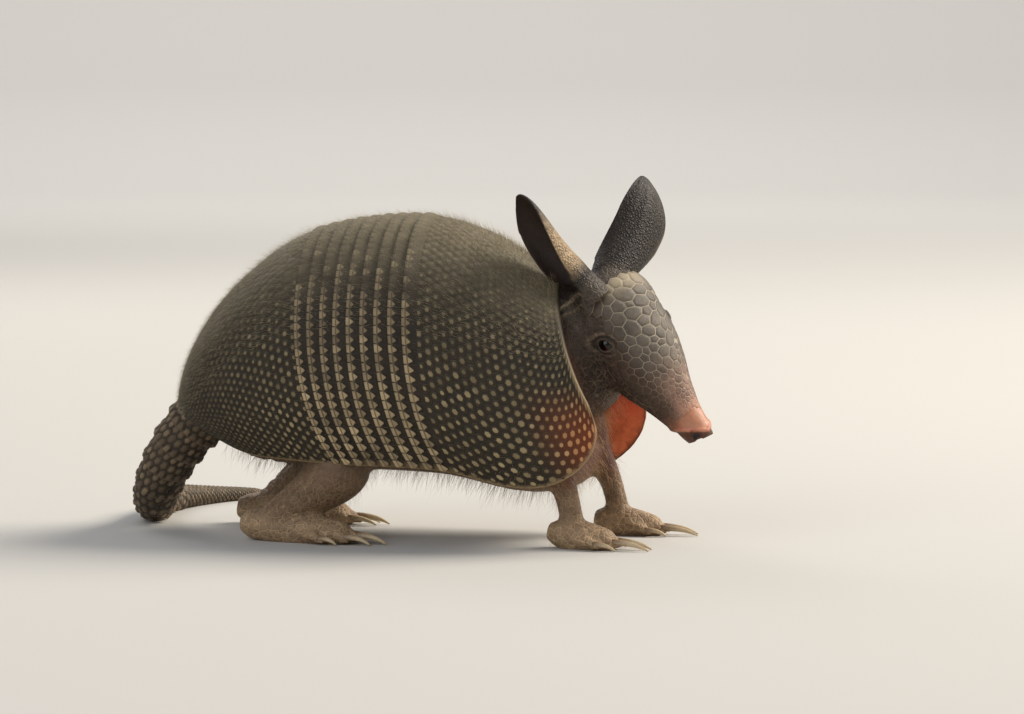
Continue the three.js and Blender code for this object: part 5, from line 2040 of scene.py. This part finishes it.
# %% Fine hair of the back
def shell_roots(count, low_a, high_a, seed):
    """Random roots on the shell, with the way out, the way back, the map's places and the rows."""
    luck_of = np.random.default_rng(seed)
    s = luck_of.uniform(1, SHELL_END - 1, count)
    a = luck_of.uniform(low_a, high_a, count) * luck_of.choice([-1, 1], count)
    a = np.clip(a, -rim_angle(s), rim_angle(s))
    root = shell_point(s, a, -0.2)
    back = unit_rows(shell_point(s - 1, a) - shell_point(s + 1, a))
    across = unit_rows(shell_point(s, a + 0.01) - shell_point(s, a - 0.01))
    out = np.cross(across, back)
    outward = np.sign(((shell_point(s, a, 1.0) - root) * out).sum(1))[:, None]
    uv = np.stack([0.5 + 0.47 * a / BASE_ANGLE, 0.02 + 0.95 * s / SHELL_END], axis=1)
    return root, out * outward, back, uv, s


back_paint = hair_finish("back_hair", (136, 122, 94), (214, 200, 160))
for k, low, high, longer in ((1, 0.0, 0.55, 1.3), (2, 0.3, 1.25, 1.0)):
    root, way, back, uv, s = shell_roots(11500, low, high, 300 + k)
    length = np.random.default_rng(5 + k).uniform(1.6, 4.8, len(root)) * longer
    length *= 0.7 + 0.4 * ramp(s, 20, 140)
    fuzz = grow(f"back_hair_{k}", root, way * 0.75, back * 0.75, length, 0.065, uv, 0.5, 10 + k)
    finish(fuzz, back_paint, "skin")

# %% Sparse hair of the sides and rim
root, way, back, uv, s = shell_roots(1900, 1.1, 2.15, 302)
length = np.random.default_rng(6).uniform(1.8, 4.6, len(root))
sparse = grow("side_hair", root, way * 0.5, back * 0.9, length, 0.05, uv, 0.6, 12)
finish(sparse, hair_finish("side_hair", (110, 94, 70), (182, 164, 126)), "skin")

# %% Hair of throat, belly, legs and cheeks
skin_uv = values_of(skin.data.uv_layers["OFBake"].data, "uv", 2)
first_corner = values_of(skin.data.polygons, "loop_start", kind=np.int32)
skin_middles, skin_ways = unplaced(centres_of(skin)), values_of(skin.data.polygons, "normal", 3)
skin_area = values_of(skin.data.polygons, "area")


def skin_hair(name, count, share, seeds, lean, stands, leans, lengths, width, root, tip):
    """Hair rooted on the skin where `share` is above 0, denser where it is higher.

    seeds are those of roots, lengths and blades; stands and leans say how far a hair rises and bends.
    """
    weight = skin_area * np.clip(share, 0, 1)
    picked = np.random.default_rng(seeds[0]).choice(len(weight), count, p=weight / weight.sum())
    length = np.random.default_rng(seeds[1]).uniform(*lengths, count)
    way, uv = skin_ways[picked], skin_uv[first_corner[picked]]
    piece = grow(name, skin_middles[picked] - 0.2 * way, way * stands, np.tile(lean, (count, 1)) * leans,
                 length, width, uv, 0.5, seeds[2])
    finish(piece, hair_finish(name, root, tip), "skin")


local = to_head(skin_middles)
x, y, z = skin_middles.T
on_head = (np.hypot(local[:, 1], local[:, 2]) < 30) & (local[:, 0] > -HEAD_END)
throat = ramp(x, 84, 98) * (1 - ramp(z, 66, 80)) * ramp(z, 26, 40) * ~on_head
chin = on_head * ramp(-local[:, 2], 6, 14) * ramp(-local[:, 0], 34, 60)
belly = (z < 50) * ramp(z, 16, 26) * (x < 96) * (skin_ways[:, 2] < 0.5) * ~on_head
legs = (z < 30) * (z > 3) * (skin_ways[:, 2] > -0.5) * (0.35 + 0.65 * ramp(z, 8, 18)) * ~on_head
cheeks = on_head * (0.25 + 0.75 * ramp(-local[:, 2], -4, 8)) * ramp(-local[:, 0], 12, 26)
for eye in EYES.values():
    cheeks = cheeks * (np.linalg.norm(local - eye, axis=1) > 9)
towards_crown = from_head([-1.0, 0, -0.25]) - from_head([0.0, 0, 0])
skin_hair("throat_hair", 1500, throat + 0.9 * chin, (21, 7, 13), (0.35, 0.0, -0.95), 0.5, 0.8,
          (4, 10), 0.1, (150, 96, 56), (232, 196, 142))
skin_hair("belly_hair", 2600, belly, (22, 8, 14), (-0.35, 0.0, -0.9), 0.45, 0.8,
          (4, 11), 0.09, (120, 98, 72), (190, 170, 134))
skin_hair("leg_hair", 1800, legs, (23, 9, 15), (0.1, 0.0, -0.95), 0.45, 0.8,
          (2, 5.5), 0.08, (126, 104, 80), (200, 180, 146))
skin_hair("cheek_hair", 900, cheeks, (24, 10, 16), towards_crown, 0.35, 0.9,
          (1.2, 3.4), 0.06, (120, 98, 76), (200, 180, 150))
